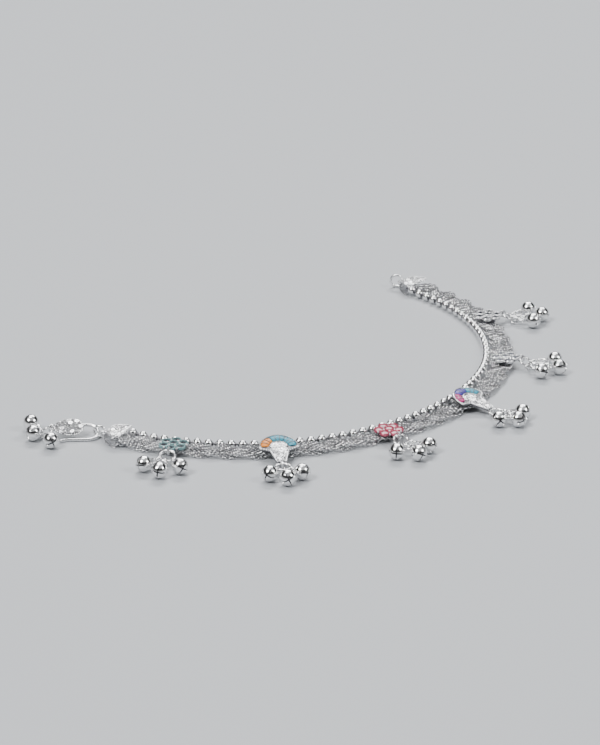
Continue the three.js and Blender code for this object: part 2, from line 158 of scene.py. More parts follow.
def together(shapes: list[Shape]) -> Shape:
    """Puts several shapes into one, side by side.

    Args:
        shapes: the shapes to put together.

    Returns:
        One shape that holds them all.
    """
    starts = np.cumsum([0] + [len(shape.points) for shape in shapes[:-1]])
    return Shape(np.concatenate([shape.points for shape in shapes]),
                 np.concatenate([shape.quads + start for shape, start in zip(shapes, starts)]),
                 np.concatenate([shape.tris + start for shape, start in zip(shapes, starts)]),
                 np.concatenate([shape.quad_look for shape in shapes]),
                 np.concatenate([shape.tri_look for shape in shapes]))


def wrapped(grid: np.ndarray, loop: bool = False) -> Shape:
    """A tube from a grid of points: each row is one ring of the tube, and joins the next row.

    Args:
        grid: points with shape (rows, around, 3).
        loop: True joins the last row to the first, and False closes each end on its middle.

    Returns:
        A closed shape.
    """
    rows, around = grid.shape[:2]
    index = np.arange(rows * around).reshape(rows, around)
    below = index if loop else index[:-1]
    above = np.roll(index, -1, axis=0) if loop else index[1:]
    quads = np.stack([below, np.roll(below, -1, axis=1), np.roll(above, -1, axis=1), above], -1)
    points = grid.reshape(-1, 3)
    tris = np.zeros((0, 3), int)
    if not loop:
        ends = np.stack([grid[0].mean(0), grid[-1].mean(0)])
        points = np.concatenate([points, ends])
        low = np.stack([np.full(around, rows * around), np.roll(index[0], -1), index[0]], -1)
        high = np.stack([np.full(around, rows * around + 1), index[-1], np.roll(index[-1], -1)], -1)
        tris = np.concatenate([low, high])
    quads = quads.reshape(-1, 4)
    return Shape(points, quads, tris, np.zeros(len(quads), int), np.zeros(len(tris), int))


def lathe(profile: list[tuple[float, float]], sides: int) -> Shape:
    """A turned shape: each profile point (radius, height) goes round the Z axis.

    Args:
        profile: radius and height from one end to the other.
        sides: how many steps there are round the axis.

    Returns:
        A closed shape.
    """
    radius, height = np.array(profile, float).T
    angle = np.linspace(0, 2 * pi, sides, endpoint=False)
    grid = np.stack([radius[:, None] * np.cos(angle), radius[:, None] * np.sin(angle),
                     np.broadcast_to(height[:, None], (len(profile), sides))], -1)
    return wrapped(grid)


def ball(radius: float, rings: int = 6, sides: int = 10) -> Shape:
    """A sphere: the profile is a half circle from pole to pole, turned round Z.

    Args:
        radius: the sphere's radius.
        rings: how many rings there are between the poles.
        sides: how many steps there are round the axis.

    Returns:
        A closed shape.
    """
    angle = np.linspace(-pi / 2, pi / 2, rings + 2)[1:-1]
    return lathe(list(zip(radius * np.cos(angle), radius * np.sin(angle))), sides)


def swept(path: np.ndarray, wire: float, sides: int = 10,
          up: tuple[float, float, float] = (0, 0, 1), loop: bool = False,
          width: np.ndarray | float = 1.0) -> Shape:
    """A round wire along a path: each path point carries a circle at right angles to the path.

    Args:
        path: the wire's middle line, one point in each row.
        wire: the wire's diameter.
        sides: how many sides the wire has.
        up: a direction that the path never follows.
        loop: True if the path is closed.
        width: a share of the diameter, for all points or for each.

    Returns:
        A closed shape.
    """
    ahead = np.roll(path, -1, axis=0) if loop else np.concatenate([path[1:], path[-1:]])
    behind = np.roll(path, 1, axis=0) if loop else np.concatenate([path[:1], path[:-1]])
    along = unit(ahead - behind)
    side = unit(np.cross(along, np.array(up, float)))
    over = np.cross(side, along)
    angle = np.linspace(0, 2 * pi, sides, endpoint=False)
    reach = (wire / 2 * np.broadcast_to(width, len(path)))[:, None, None]
    circle = side[:, None] * np.cos(angle)[:, None] + over[:, None] * np.sin(angle)[:, None]
    return wrapped(path[:, None] + reach * circle, loop)


def link(length: float, width: float, wire: float, steps: int = 14, sides: int = 6) -> Shape:
    """A wire link in the XY plane: a circle pulled apart along X into two half circles.

    Args:
        length: outer length along X.
        width: outer width.
        wire: the wire's diameter.
        steps: even number of steps round the link.
        sides: how many sides the wire has.

    Returns:
        A closed shape.
    """
    angle = (np.arange(steps) + 0.5) * 2 * pi / steps
    radius = (width - wire) / 2
    pull = np.sign(np.cos(angle)) * (length - width) / 2
    path = np.stack([radius * np.cos(angle) + pull, radius * np.sin(angle), 0 * angle], -1)
    return swept(path, wire, sides, loop=True)


def painted_shade_inside(loop: Shape, length: float, width: float, wire: float) -> Shape:
    """Gives a link's faces that look into its hole finish 1, painted shade.

    A face looks inwards where its middle is nearer the link's long axis than the wire's middle is.

    Args:
        loop: a link from the function above.
        length: its outer length.
        width: its outer width.
        wire: its wire's diameter.

    Returns:
        The link with both finishes.
    """
    middle = loop.points[loop.quads].mean(axis=1)
    pull = (length - width) / 2
    reach = np.hypot(middle[:, 0] - np.clip(middle[:, 0], -pull, pull), middle[:, 1])
    # Finish 1, painted shade, on the faces that look into the hole.
    return replace(loop, quad_look=(reach < (width - wire) / 2 - 0.1 * wire).astype(int))


def barred(centre: np.ndarray, over: np.ndarray, half: np.ndarray, thick: np.ndarray,
           across: tuple[float, float, float] = (0, 1, 0), steps: int = 8) -> Shape:
    """A flat bar with soft edges along a path: each section is a flattened oval.

    The section point at angle a is half the width times cos(a), raised to a small power with its
    sign kept, and half the thickness times sin(a) in the same way, which gives a rounded oblong.

    Args:
        centre: middle line, one point in each row.
        over: the bar's upward direction at each point.
        half: half the width at each point.
        thick: the thickness at each point.
        across: the direction of the width.
        steps: how many steps a quarter of the section has.

    Returns:
        A closed shape.
    """
    squareness = 0.35
    angle = np.linspace(0, 2 * pi, 4 * steps, endpoint=False)
    wide = np.sign(np.cos(angle)) * np.abs(np.cos(angle)) ** squareness
    tall = np.sign(np.sin(angle)) * np.abs(np.sin(angle)) ** squareness
    sideways = np.array(across, float)
    grid = (centre[:, None] + half[:, None, None] * wide[:, None] * sideways
            + (thick[:, None, None] / 2) * tall[:, None] * over[:, None])
    return wrapped(grid)


def packed_circles(low: tuple[float, float], high: tuple[float, float], pitch: float) -> np.ndarray:
    """Rows of points like packed circles: each second row is moved by half a step.

    Args:
        low: lowest x and y.
        high: highest x and y.
        pitch: distance between neighbours.

    Returns:
        Points, one in each row.
    """
    columns = np.arange(low[0], high[0] + pitch, pitch)
    rows = np.arange(low[1], high[1] + pitch, pitch * sqrt(3) / 2)
    x = columns[None] + (np.arange(len(rows)) % 2)[:, None] * pitch / 2
    y = np.broadcast_to(rows[:, None], x.shape)
    return np.stack([x.ravel(), y.ravel()], -1)


def curls_at(points: np.ndarray, size: float = 1.24, wire: float = 0.32) -> Shape:
    """Small wire curls with a grain in each, all leaning a little, each its own way.

    Args:
        points: the curls' middles, one in each row.
        size: a curl's outer diameter.
        wire: its wire's diameter.

    Returns:
        One shape with all of them, with finish 1, painted shade, inside the curls.
    """
    most_lean, grain = 0.22, 0.24
    chance = np.random.default_rng(len(points))
    count = len(points)
    lean = chance.uniform(-most_lean, most_lean, (count, 2))
    along = unit(np.stack([np.ones(count), 0 * lean[:, 0], lean[:, 0]], -1))
    up = unit(np.stack([-lean[:, 0], -lean[:, 1], np.ones(count)], -1))
    places = frames_of(along, np.cross(up, along), points)
    curl = painted_shade_inside(link(size, size, wire, 12, 6), size, size, wire)
    return together([curl.repeated(places), ball(grain, 4, 6).repeated(places)])


# Finishes

class Look(Enum):
    """The finishes of the anklet."""

    POLISHED = "polished_silver"
    SATIN = "satin_silver"
    WORKED = "worked_silver"
    # Dark finish: painted shade in gaps, hollows and link holes, and the colour of the fan's
    # partition wires.
    DARK_AND_SHADE = "dark_and_painted_shade"
    # Mid dark finish: painted shade in the plait's link holes and on the hook leaf's ground and
    # curl holes.
    MID_SHADE = "painted_mid_shade"
    # Near black: painted shade in the bells' sunk slits.
    SLIT_SHADE = "bell_slit_painted_shade"
    TEAL = "teal_enamel"
    ORANGE = "orange_enamel"
    MAGENTA = "magenta_enamel"
    VIOLET = "violet_enamel"
    MIST = "grey_teal_enamel"
    PINK = "pink_enamel"
    ROSE = "rose_stone"
    MAROON = "maroon_ground"
    SMOKE = "smoke_stone"
    CLEAR = "clear_stone"


@dataclass(frozen=True)
class Finish:
    """One finish: base colour, metal share, roughness, coat, and how much wear and grain it has."""

    colour: tuple[float, float, float]
    dark: tuple[float, float, float]
    metal: float = 1.0
    rough: float = 0.15
    rough_spread: float = 0.1
    coat: float = 0.0
    wear: float = 0.25
    grain: float = 0.1
    grain_size: float = 1800.0


FINISHES = {
    Look.POLISHED: Finish((0.93, 0.93, 0.93), (0.6, 0.61, 0.63), rough=0.09, grain=0.03),
    Look.SATIN: Finish((0.9, 0.9, 0.91), (0.5, 0.51, 0.53), rough=0.2, wear=0.4),
    Look.WORKED: Finish((0.84, 0.84, 0.85), (0.36, 0.37, 0.39), rough=0.24, wear=0.45, grain=0.2),
    # Painted shade for bead ends and necks, link and curl holes, collet floors and the ground
    # between curls and collets; also the fan's dark partition wires.
    Look.DARK_AND_SHADE: Finish((0.2, 0.2, 0.21), (0.05, 0.05, 0.055), rough=0.45, wear=0.7, grain=0.3),
    # Painted shade, mid dark: the plait's link holes, the hook leaf's ground and its curl holes.
    Look.MID_SHADE: Finish((0.34, 0.34, 0.35), (0.12, 0.12, 0.125), rough=0.3, wear=0.6, grain=0.3),
    # Painted shade: near black in the bells' sunk slits.
    Look.SLIT_SHADE: Finish((0.03, 0.03, 0.035), (0.015, 0.015, 0.015), metal=0.4, rough=0.6),
    Look.TEAL: Finish((0.012, 0.24, 0.34), (0.006, 0.11, 0.17), metal=0, rough=0.42, coat=0.12),
    Look.ORANGE: Finish((0.72, 0.22, 0.004), (0.4, 0.1, 0.003), metal=0, rough=0.42, coat=0.12),
    Look.MAGENTA: Finish((0.42, 0.003, 0.15), (0.2, 0.002, 0.08), metal=0, rough=0.42, coat=0.12),
    Look.VIOLET: Finish((0.06, 0.045, 0.34), (0.025, 0.02, 0.18), metal=0, rough=0.42, coat=0.12),
    Look.MIST: Finish((0.2, 0.34, 0.35), (0.09, 0.18, 0.19), metal=0.3, rough=0.3, coat=0.3),
    Look.PINK: Finish((0.5, 0.08, 0.14), (0.24, 0.02, 0.05), metal=0.25, rough=0.12, coat=0.7),
    Look.ROSE: Finish((0.85, 0.6, 0.64), (0.7, 0.4, 0.46), metal=0, rough=0.06, coat=0.8),
    Look.MAROON: Finish((0.1, 0.012, 0.03), (0.05, 0.006, 0.014), metal=0, rough=0.3),
    Look.SMOKE: Finish((0.04, 0.042, 0.05), (0.02, 0.02, 0.025), metal=0, rough=0.14, coat=0.15),
    Look.CLEAR: Finish((0.14, 0.15, 0.17), (0.08, 0.09, 0.1), metal=0, rough=0.12, coat=0.2),
}


class Paint:
    """Builds the materials, all on object coordinates."""

    spread = 260
    tarnish_range = (0.45, 0.75)
    rough_range = (0.3, 0.7)
    bump_depth = 0.0001
    coat_roughness = 0.04

    def __init__(self) -> None:
        """Makes the shared wear group and an empty store of materials."""
        self.group = self._wear_group()
        self.made: dict[Look, bpy.types.Material] = {}

    @classmethod
    def _wear_group(cls) -> bpy.types.NodeTree:
        """Noise in two sizes over object coordinates: a broad tarnish mask and a fine grain.

        Returns:
            The node group, with inputs Spread and Grain Size and outputs Mask and Grain.
        """
        group = bpy.data.node_groups.new("hand_wear", "ShaderNodeTree")
        face = group.interface
        for name, value in (("Spread", cls.spread), ("Grain Size", Finish.grain_size)):
            socket = face.new_socket(name, in_out="INPUT", socket_type="NodeSocketFloat")
            socket.default_value = value
        for name in ("Mask", "Grain"):
            face.new_socket(name, in_out="OUTPUT", socket_type="NodeSocketFloat")
        nodes, links = group.nodes, group.links
        source = nodes.new("NodeGroupInput")
        target = nodes.new("NodeGroupOutput")
        place = nodes.new("ShaderNodeTexCoord")
        for output, size, detail in (("Mask", "Spread", 4.0), ("Grain", "Grain Size", 2.0)):
            noise = nodes.new("ShaderNodeTexNoise")
            noise.inputs["Detail"].default_value = detail
            links.new(place.outputs["Object"], noise.inputs["Vector"])
            links.new(source.outputs[size], noise.inputs["Scale"])
            links.new(noise.outputs["Fac"], target.inputs[output])
        return group

    def material(self, look: Look) -> bpy.types.Material:
        """The material of a finish: colour and roughness run between two values by the wear mask.

        Args:
            look: which finish.

        Returns:
            The material, made once.
        """
        if look in self.made:
            return self.made[look]
        finish = FINISHES[look]
        material = bpy.data.materials.new(look.value)
        material.use_nodes = True
        nodes, links = material.node_tree.nodes, material.node_tree.links
        shader = nodes["Principled BSDF"]
        wear = nodes.new("ShaderNodeGroup")
        wear.node_tree = self.group
        wear.inputs["Grain Size"].default_value = finish.grain_size
        ramp = nodes.new("ShaderNodeMapRange")
        ramp.inputs["From Min"].default_value = self.tarnish_range[0]
        ramp.inputs["From Max"].default_value = self.tarnish_range[1]
        ramp.inputs["To Max"].default_value = finish.wear
        links.new(wear.outputs["Mask"], ramp.inputs["Value"])
        mix = nodes.new("ShaderNodeMix")
        mix.data_type = "RGBA"
        mix.inputs["A"].default_value = (*finish.colour, 1)
        mix.inputs["B"].default_value = (*finish.dark, 1)
        links.new(ramp.outputs["Result"], mix.inputs["Factor"])
        links.new(mix.outputs["Result"], shader.inputs["Base Color"])
        rough = nodes.new("ShaderNodeMapRange")
        rough.inputs["From Min"].default_value = self.rough_range[0]
        rough.inputs["From Max"].default_value = self.rough_range[1]
        rough.inputs["To Min"].default_value = finish.rough
        rough.inputs["To Max"].default_value = finish.rough + finish.rough_spread
        links.new(wear.outputs["Mask"], rough.inputs["Value"])
        links.new(rough.outputs["Result"], shader.inputs["Roughness"])
        bump = nodes.new("ShaderNodeBump")
        bump.inputs["Strength"].default_value = finish.grain
        bump.inputs["Distance"].default_value = self.bump_depth
        links.new(wear.outputs["Grain"], bump.inputs["Height"])
        links.new(bump.outputs["Normal"], shader.inputs["Normal"])
        shader.inputs["Metallic"].default_value = finish.metal
        shader.inputs["Coat Weight"].default_value = finish.coat
        shader.inputs["Coat Roughness"].default_value = self.coat_roughness
        material.diffuse_color = (*finish.colour, 1)
        self.made[look] = material
        return material


class Bench:
    """Turns shapes into objects of the scene and ties them to the frame."""

    def __init__(self) -> None:
        """Starts with fresh materials."""
        self.paint = Paint()

    def add(self, name: str, shape: Shape, looks: list[Look], slot: str, nodes: list[str],
            crease: float = 40.0) -> bpy.types.Object:
        """Makes one piece that rides on the root and stands for CAD nodes.

        Args:
            name: the piece's name.
            shape: its surfaces in millimetres.
            looks: the finishes that the shape's finish numbers count in.
            slot: the record's material slot; not used.
            nodes: the CAD nodes it replaces.
            crease: edges sharper than this many degrees stay sharp.

        Returns:
            The object.
        """
        mesh = bpy.data.meshes.new(name)
        mesh.from_pydata(shape.points * MM, [], shape.quads.tolist() + shape.tris.tolist())
        for look in looks:
            mesh.materials.append(self.paint.material(look))
        mesh.polygons.foreach_set("material_index",
                                  np.concatenate([shape.quad_look, shape.tri_look]))
        edit = bmesh.new()
        edit.from_mesh(mesh)
        bmesh.ops.recalc_face_normals(edit, faces=edit.faces)
        edit.to_mesh(mesh)
        edit.free()
        mesh.polygons.foreach_set("use_smooth", np.ones(len(mesh.polygons), bool))
        mesh.set_sharp_from_angle(angle=radians(crease))
        mesh.update()
        piece = bpy.data.objects.new(name, mesh)
        bpy.context.scene.collection.objects.link(piece)
        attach(piece, "root")
        if nodes:
            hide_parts(*nodes)
        LOG.info("%s: %d faces", name, len(mesh.polygons))
        return piece


# The band

@dataclass(frozen=True)
class Route:
    """The bead row's middle line, as a start and a chain of arcs, each with a length and a turn."""

    x: float = -54.114
    y: float = -45.741
    heading: float = radians(-29)
    arcs: tuple[tuple[float, float], ...] = (
        (36, 26.5), (35, 28.5), (28, 18.5), (37, 25), (17, 14), (69, 53.5))
    lift_height: float = 0.6
    lift_reach: float = 9.0

    @property
    def length(self) -> float:
        """The whole length of the row."""
        return float(sum(length for length, _ in self.arcs))

    def at(self, distance: np.ndarray | float) -> tuple[np.ndarray, np.ndarray, np.ndarray]:
        """Point and heading: each arc passed adds its chord and its turn.

        Args:
            distance: how far along the row, one or many values.

        Returns:
            x, y and heading.
        """
        left = np.asarray(distance, float).copy()
        x, y, heading = self.x + 0 * left, self.y + 0 * left, self.heading + 0 * left
        for length, degrees in self.arcs:
            span = np.clip(left, 0, length)
            angle = radians(degrees) * span / length
            chord = span * np.sinc(angle / (2 * pi))
            x = x + chord * np.cos(heading + angle / 2)
            y = y + chord * np.sin(heading + angle / 2)
            heading = heading + angle
            left = left - length
        return x, y, heading

    def lift(self, distance: np.ndarray) -> np.ndarray:
        """Returns how far the band rises near its ends, falling off as a smooth step."""
        share = np.clip(np.minimum(distance, self.length - distance) / self.lift_reach, 0, 1)
        return self.lift_height * (1 - share * share * (3 - 2 * share))

    def point(self, distance: np.ndarray, across: np.ndarray, up: np.ndarray) -> np.ndarray:
        """A point beside the row: across goes outwards, at right angles to the heading.

        Args:
            distance: how far along the row.
            across: how far outwards.
            up: height above the surface, before the lift.

        Returns:
            Points, one in each row.
        """
        x, y, heading = self.at(distance)
        return np.stack([x + across * np.sin(heading), y - across * np.cos(heading),
                         up + self.lift(distance)], -1)

    def station(self, distance: float) -> np.ndarray:
        """Returns the matrix of a station: X along the band, -Y outwards, on the surface."""
        x, y, heading = self.at(distance)
        return shift(float(x), float(y), 0) @ turn(2, float(heading))


@dataclass
class BeadRow:
    """The round beads and the little collars and necks between them."""

    route: Route
    diameter: float = 2.84
    pitch: float = 3.5
    neck: float = 0.55
    collar: float = 1.15
    collar_ends: tuple[float, float] = (0.02, 0.22)
    neck_from: float = 0.3
    bead_end: float = radians(64)
    # Bead faces further than this angle from the bead's middle get painted shade.
    shade_from: float = radians(50)
    inwards: float = 0.17
    sides: int = 24

    def shape(self) -> Shape:
        """One turned string, bent onto the route.

        The radius along each pitch is the neck, then a collar, then the circle of the bead, where
        the radius is the root of the bead radius squared less the distance from its middle squared.

        Returns:
            The whole row as one closed shape, with finish 1, painted shade, on necks, collars and
            bead ends.
        """
        length = self.route.length
        count = int(length / self.pitch)
        first = (length - (count - 1) * self.pitch) / 2
        radius = self.diameter / 2
        angle = np.linspace(-self.bead_end, self.bead_end, 15)
        place = radius * np.sin(angle)
        size = radius * np.cos(angle)
        edge = place[-1]
        beyond = np.array([*self.collar_ends, self.neck_from])
        place = np.concatenate([-edge - beyond[::-1], place, edge + beyond])
        size = np.concatenate([[self.neck / 2, self.collar / 2, self.collar / 2], size,
                               [self.collar / 2, self.collar / 2, self.neck / 2]])
        along = (first + np.arange(count)[:, None] * self.pitch + place).ravel()
        wide = np.tile(size, count)
        along = np.concatenate([[0.0], along, [length]])
        wide = np.concatenate([[self.neck / 2], wide, [self.neck / 2]])
        around = np.linspace(0, 2 * pi, self.sides, endpoint=False)
        s = np.broadcast_to(along[:, None], (len(along), self.sides))
        grid = self.route.point(s, wide[:, None] * np.cos(around) - self.inwards,
                                radius + wide[:, None] * np.sin(around))
        # Painted shade on necks, collars and bead ends, where the beads meet.
        dark = np.tile(np.r_[[True] * 3, np.abs(angle) > self.shade_from, [True] * 3], count)
        dark = np.r_[True, dark, True]
        string = wrapped(grid)
        shaded_steps = (dark[:-1] & dark[1:]).astype(int)
        return replace(string, quad_look=np.repeat(shaded_steps, self.sides),
                       tri_look=np.ones(len(string.tris), int))

    def build(self, bench: Bench) -> None:
        """Adds the row to the scene."""
        bench.add("bead_row", self.shape(), [Look.POLISHED, Look.DARK_AND_SHADE], "polished_silver",
                  ["bead_chain"], 50)


@dataclass
class Plait:
    """Three flat strands, each of four fine cable chains side by side."""

    route: Route
    across: float = 4.95
    reach: float = 2.1
    height: float = 1.15
    rise: float = 0.7
    flatness: float = 0.16
    turns: int = 9
    chains: tuple[float, ...] = (-1.08, -0.36, 0.36, 1.08)
    link_length: float = 1.62
    link_width: float = 1.12
    wire: float = 0.27
    pitch: float = 1.06
    lean: float = radians(31)
    end_margin: float = 0.3
    floor_gap: float = 0.02

    def middle_line(self, strand: int, distance: np.ndarray) -> np.ndarray:
        """A strand swings across as a sine with flattened tops, and over and under twice as often.

        The flat tops come from a share of the sine of three times the angle, and keep a strand at
        the plait's edge a little longer.

        Args:
            strand: 0, 1 or 2, a third of a turn apart.
            distance: how far along the route.

        Returns:
            Points, one in each row.
        """
        angle = 2 * pi * (self.turns * distance / self.route.length + strand / 3)
        swing = (np.sin(angle) + self.flatness * np.sin(3 * angle)) / (1 - self.flatness)
        return self.route.point(distance, self.across + self.reach * swing,
                                self.height + self.rise * np.sin(2 * angle))

    def strand(self, strand: int) -> Shape:
        """Links at an even step along four lines beside the strand's middle line.

        Each link's long side follows the line, and it leans to one side or the other by turns, as
        the links of a twisted cable chain do.

        Args:
            strand: 0, 1 or 2.

        Returns:
            All the links of the strand, with finish 1, painted shade, in their holes.
        """
        sizes = (self.link_length, self.link_width, self.wire)
        loop = painted_shade_inside(link(*sizes, 10, 6), *sizes)
        distance = np.linspace(self.end_margin, self.route.length - self.end_margin, 6000)
        middle = self.middle_line(strand, distance)
        along = unit(np.gradient(middle, axis=0))
        sideways = unit(np.cross(np.array([0, 0, 1.0]), along))
        parts = []
        for row, offset in enumerate(self.chains):
            line = middle + sideways * offset
            travelled = np.concatenate(
                [[0], np.cumsum(np.linalg.norm(np.diff(line, axis=0), axis=1))])
            stops = np.arange(self.pitch * (0.5 + row / 3), travelled[-1], self.pitch)
            nearest = np.searchsorted(travelled, stops)
            lean = self.lean * (1 - 2 * (np.arange(len(stops)) % 2))
            way, side = along[nearest], sideways[nearest]
            over = np.cross(way, side)
            tilted = side * np.cos(lean)[:, None] + over * np.sin(lean)[:, None]
            parts.append(loop.repeated(frames_of(way, tilted, line[nearest])))
        shape = together(parts)
        shape.points[:, 2] = np.maximum(shape.points[:, 2], self.floor_gap)
        return shape

    def build(self, bench: Bench) -> None:
        """Adds the three strands to the scene."""
        for strand in range(3):
            # Finish 1 on the strands is painted shade in the link holes.
            bench.add(f"plait_strand_{strand + 1}", self.strand(strand),
                      [Look.SATIN, Look.MID_SHADE], "satin_silver",
                      [f"braid_strand_{strand + 1}"], 60)


# Drops with bells

class Bell:
    """A round hollow bell: seam, crossed slits with round ends, and a wire eye on its +X side."""

    radius = 2.5
    eye_wire = 0.5
    eye_width = 2.05
    link_wire = 0.55
    play = 0.35
    eye_stand = eye_wire / 2 + link_wire + 2 * play
    slit_half = 0.042
    slit_reach = 0.5
    slit_hole = 0.1
    slit_lip = 0.012
    depth = 0.4
    seam_wire = 0.26
    seam_sunk = 0.1
    foot = ((0.75, 0), (0.75, 0.12), (0.45, 0.3))
    foot_sunk = 0.15
    eye_root = 0.4

    @classmethod
    def ball(cls) -> Shape:
        """Two square sheets bent to half spheres, joined at their edges, with sunk crossed slits.

        A sheet point (u, v) goes to the disc point u times the root of 1 less half of v squared,
        and the other way round for v. The disc radius times a quarter turn is the angle from the
        pole.

        Returns:
            The ball, with finish 1, painted shade, inside the slits.
        """
        edge = cls.slit_half
        outer = np.linspace(edge + cls.slit_lip, 1, 22)
        inner = np.linspace(0, edge, 3)[1:]
        positive = np.concatenate([inner, outer])
        lines = np.concatenate([-positive[::-1], [0.0], positive])
        u, v = np.meshgrid(lines, lines, indexing="ij")
        flat_x, flat_y = u * np.sqrt(1 - v * v / 2), v * np.sqrt(1 - u * u / 2)
        share = np.hypot(flat_x, flat_y)
        bearing = np.arctan2(flat_y, flat_x)
        polar = share * pi / 2
        tiny = 1e-9
        arm = (((np.abs(u) <= edge + tiny) & (np.abs(v) <= cls.slit_reach))
               | ((np.abs(v) <= edge + tiny) & (np.abs(u) <= cls.slit_reach)))
        for x, y in ((1, 0), (-1, 0), (0, 1), (0, -1)):
            arm |= np.hypot(u - x * cls.slit_reach, v - y * cls.slit_reach) <= cls.slit_hole
        parts = []
        for sign, sunk in ((-1, arm), (1, np.zeros_like(arm))):
            reach = np.where(sunk, cls.radius - cls.depth, cls.radius)
            grid = np.stack([sign * reach * np.cos(polar), reach * np.sin(polar) * np.cos(bearing),
                             reach * np.sin(polar) * np.sin(bearing)], -1)
            parts.append((grid, sunk))
        rows = len(lines)
        index = np.arange(rows * rows).reshape(rows, rows)
        second = index + rows * rows
        rim = np.zeros((rows, rows), bool)
        rim[0], rim[-1], rim[:, 0], rim[:, -1] = True, True, True, True
        second[rim] = index[rim]
        faces, looks = [], []
        for table, (_, sunk), flip in ((index, parts[0], True), (second, parts[1], False)):
            square = [table[:-1, :-1], table[1:, :-1], table[1:, 1:], table[:-1, 1:]]
            faces.append(np.stack(square[::-1] if flip else square, -1).reshape(-1, 4))
            whole = sunk[:-1, :-1] & sunk[1:, :-1] & sunk[1:, 1:] & sunk[:-1, 1:]
            looks.append(whole.ravel().astype(int))
        points = np.concatenate([parts[0][0].reshape(-1, 3), parts[1][0].reshape(-1, 3)])
        quads = np.concatenate(faces)
        used, quads = np.unique(quads, return_inverse=True)
        return Shape(points[used], quads.reshape(-1, 4), np.zeros((0, 3), int),
                     np.concatenate(looks), np.zeros(0, int))

    @classmethod
    def shape(cls, roll: float) -> Shape:
        """The ball with its seam, the eye's foot and the eye.

        Args:
            roll: how far the slits are turned round the eye's axis.

        Returns:
            The bell.
        """
        upright = turn(1, pi / 2)
        angle = np.linspace(0, 2 * pi, 48, endpoint=False)
        circle = np.stack([0 * angle, np.cos(angle), np.sin(angle)], -1)
        seam = swept(circle * (cls.radius - cls.seam_sunk), cls.seam_wire, 6, up=(1, 0, 0),
                     loop=True)
        foot = lathe(list(cls.foot), 16).moved(upright)
        foot = foot.moved(shift(cls.radius - cls.foot_sunk, 0, 0))
        half = (cls.eye_width - cls.eye_wire) / 2
        bend = np.linspace(-pi / 2, pi / 2, 12)
        tip = cls.radius + cls.eye_stand
        arch = np.stack([tip - half + half * np.cos(bend), half * np.sin(bend), 0 * bend], -1)
        root = cls.radius - cls.eye_root
        path = np.concatenate([[[root, -half, 0]], arch, [[root, half, 0]]])
        eye = swept(path, cls.eye_wire, 8)
        return together([cls.ball().moved(turn(0, roll)), seam, foot, eye])


@dataclass(frozen=True)
class Chain:
    """One short chain on a ring: where it leaves the ring, its heading, and its length."""

    side: str
    leaves: float
    heading: float
    length: float


@dataclass
class Drop:
    """A ring with three short chains, and a bell at the end of each."""

    width: float
    depth: float
    height: float
    chains: tuple[Chain, ...]
    wire: float = 0.7
    link_wire: float = Bell.link_wire
    link_width: float = 2.4
    link_step: float = 2.1
    first_link: float = 1.1
    link_slack: float = 0.06
    link_narrowness: float = 0.78
    solder: float = 0.12
    play: float = Bell.play

    def links(self, chain: Chain, middle: np.ndarray, along: np.ndarray,
              normal: np.ndarray) -> tuple[list[Shape], np.ndarray]:
        """Links in a row, each a quarter turn from the last, that together span the chain.

        Args:
            chain: the chain.
            middle: the chain's middle.
            along: its direction.
            normal: the first link's normal.

        Returns:
            The links, and the normal that the last one leaves for the bell's eye.
        """
        count = max(1, round((chain.length - self.first_link) / self.link_step))
        overlap = 2 * self.link_wire - self.link_slack
        length = (chain.length + (count - 1) * overlap) / count
        width = min(self.link_width, self.link_narrowness * length)
        shapes = []
        for index in range(count):
            place = middle + along * (index - (count - 1) / 2) * (length - overlap)
            across = np.cross(normal, along)
            ring = link(length, width, self.link_wire, 20, 8)
            shapes.append(ring.moved(frame_of(along, across, normal, place)))
            normal = np.cross(along, normal)
        return shapes, normal

    def build(self, frame: np.ndarray) -> tuple[Shape, dict[str, np.ndarray]]:
        """The wires, and the frame of each bell.

        The ring hangs from its near point and dips outwards. A chain leaves it, and its direction
        climbs or falls so that the bell's middle is a bell radius above the surface.

        Args:
            frame: the drop's frame, with -Y outwards, on the surface.

        Returns:
            The joined wires, and a matrix for each bell by its side.
        """
        radius = (self.depth - self.wire) / 2
        stretch = (self.width - self.depth) / 2
        dip = asin((self.height - self.link_width / 2) / (2 * radius))
        forward = np.array([0, -cos(dip), -sin(dip)])
        sideways = np.array([-1.0, 0, 0])
        up = np.cross(sideways, forward)
        centre = np.array([0, 0, self.height]) + forward * radius
        ring = link(self.width, self.depth, self.wire, 36, 10)
        shapes = [ring.moved(frame_of(sideways, np.cross(up, sideways), up, centre))]
        bells = {}
        for chain in self.chains:
            leaves, heading = radians(chain.leaves), radians(chain.heading)
            start = (centre + forward * radius * cos(leaves)
                     + sideways * (radius * sin(leaves) + np.sign(chain.leaves) * stretch))
            way = sideways * cos(leaves) - forward * sin(leaves)
            held = self.link_wire if chain.length else self.wire
            span = chain.length - self.link_wire
            reach = span - (self.wire + self.link_wire) / 2 + self.solder if chain.length else 0.0
            step = Bell.radius + Bell.eye_stand - (held + Bell.eye_wire) / 2 - self.play
            rise = asin((Bell.radius - start[2]) / (reach + step))
            along = np.array([-sin(heading) * cos(rise), -cos(heading) * cos(rise), sin(rise)])
            normal = unit(way - along * way.dot(along))
            if chain.length:
                made, normal = self.links(chain, start + along * (reach - span / 2), along, normal)
                shapes.extend(made)
            across = np.cross(normal, -along)
            middle = start + along * (reach + step)
            bells[chain.side] = frame @ frame_of(-along, across, normal, middle)
        return together(shapes).moved(frame), bells


def three_chains(length: float, extra: float = 2.3) -> tuple[Chain, ...]:
    """Returns a motif's three chains, the middle one longer than the outer two."""
    return (Chain("left", -45, -30, length), Chain("middle", 0, 0, length + extra),
            Chain("right", 45, 30, length))


# Motifs

BAIL = 2.6
BAIL_WIRE = 0.6


def bail() -> Shape:
    """Returns a loop of wire that stands upright across X, its middle at the origin."""
    return link(BAIL, BAIL, BAIL_WIRE, 24, 8).moved(turn(1, pi / 2))


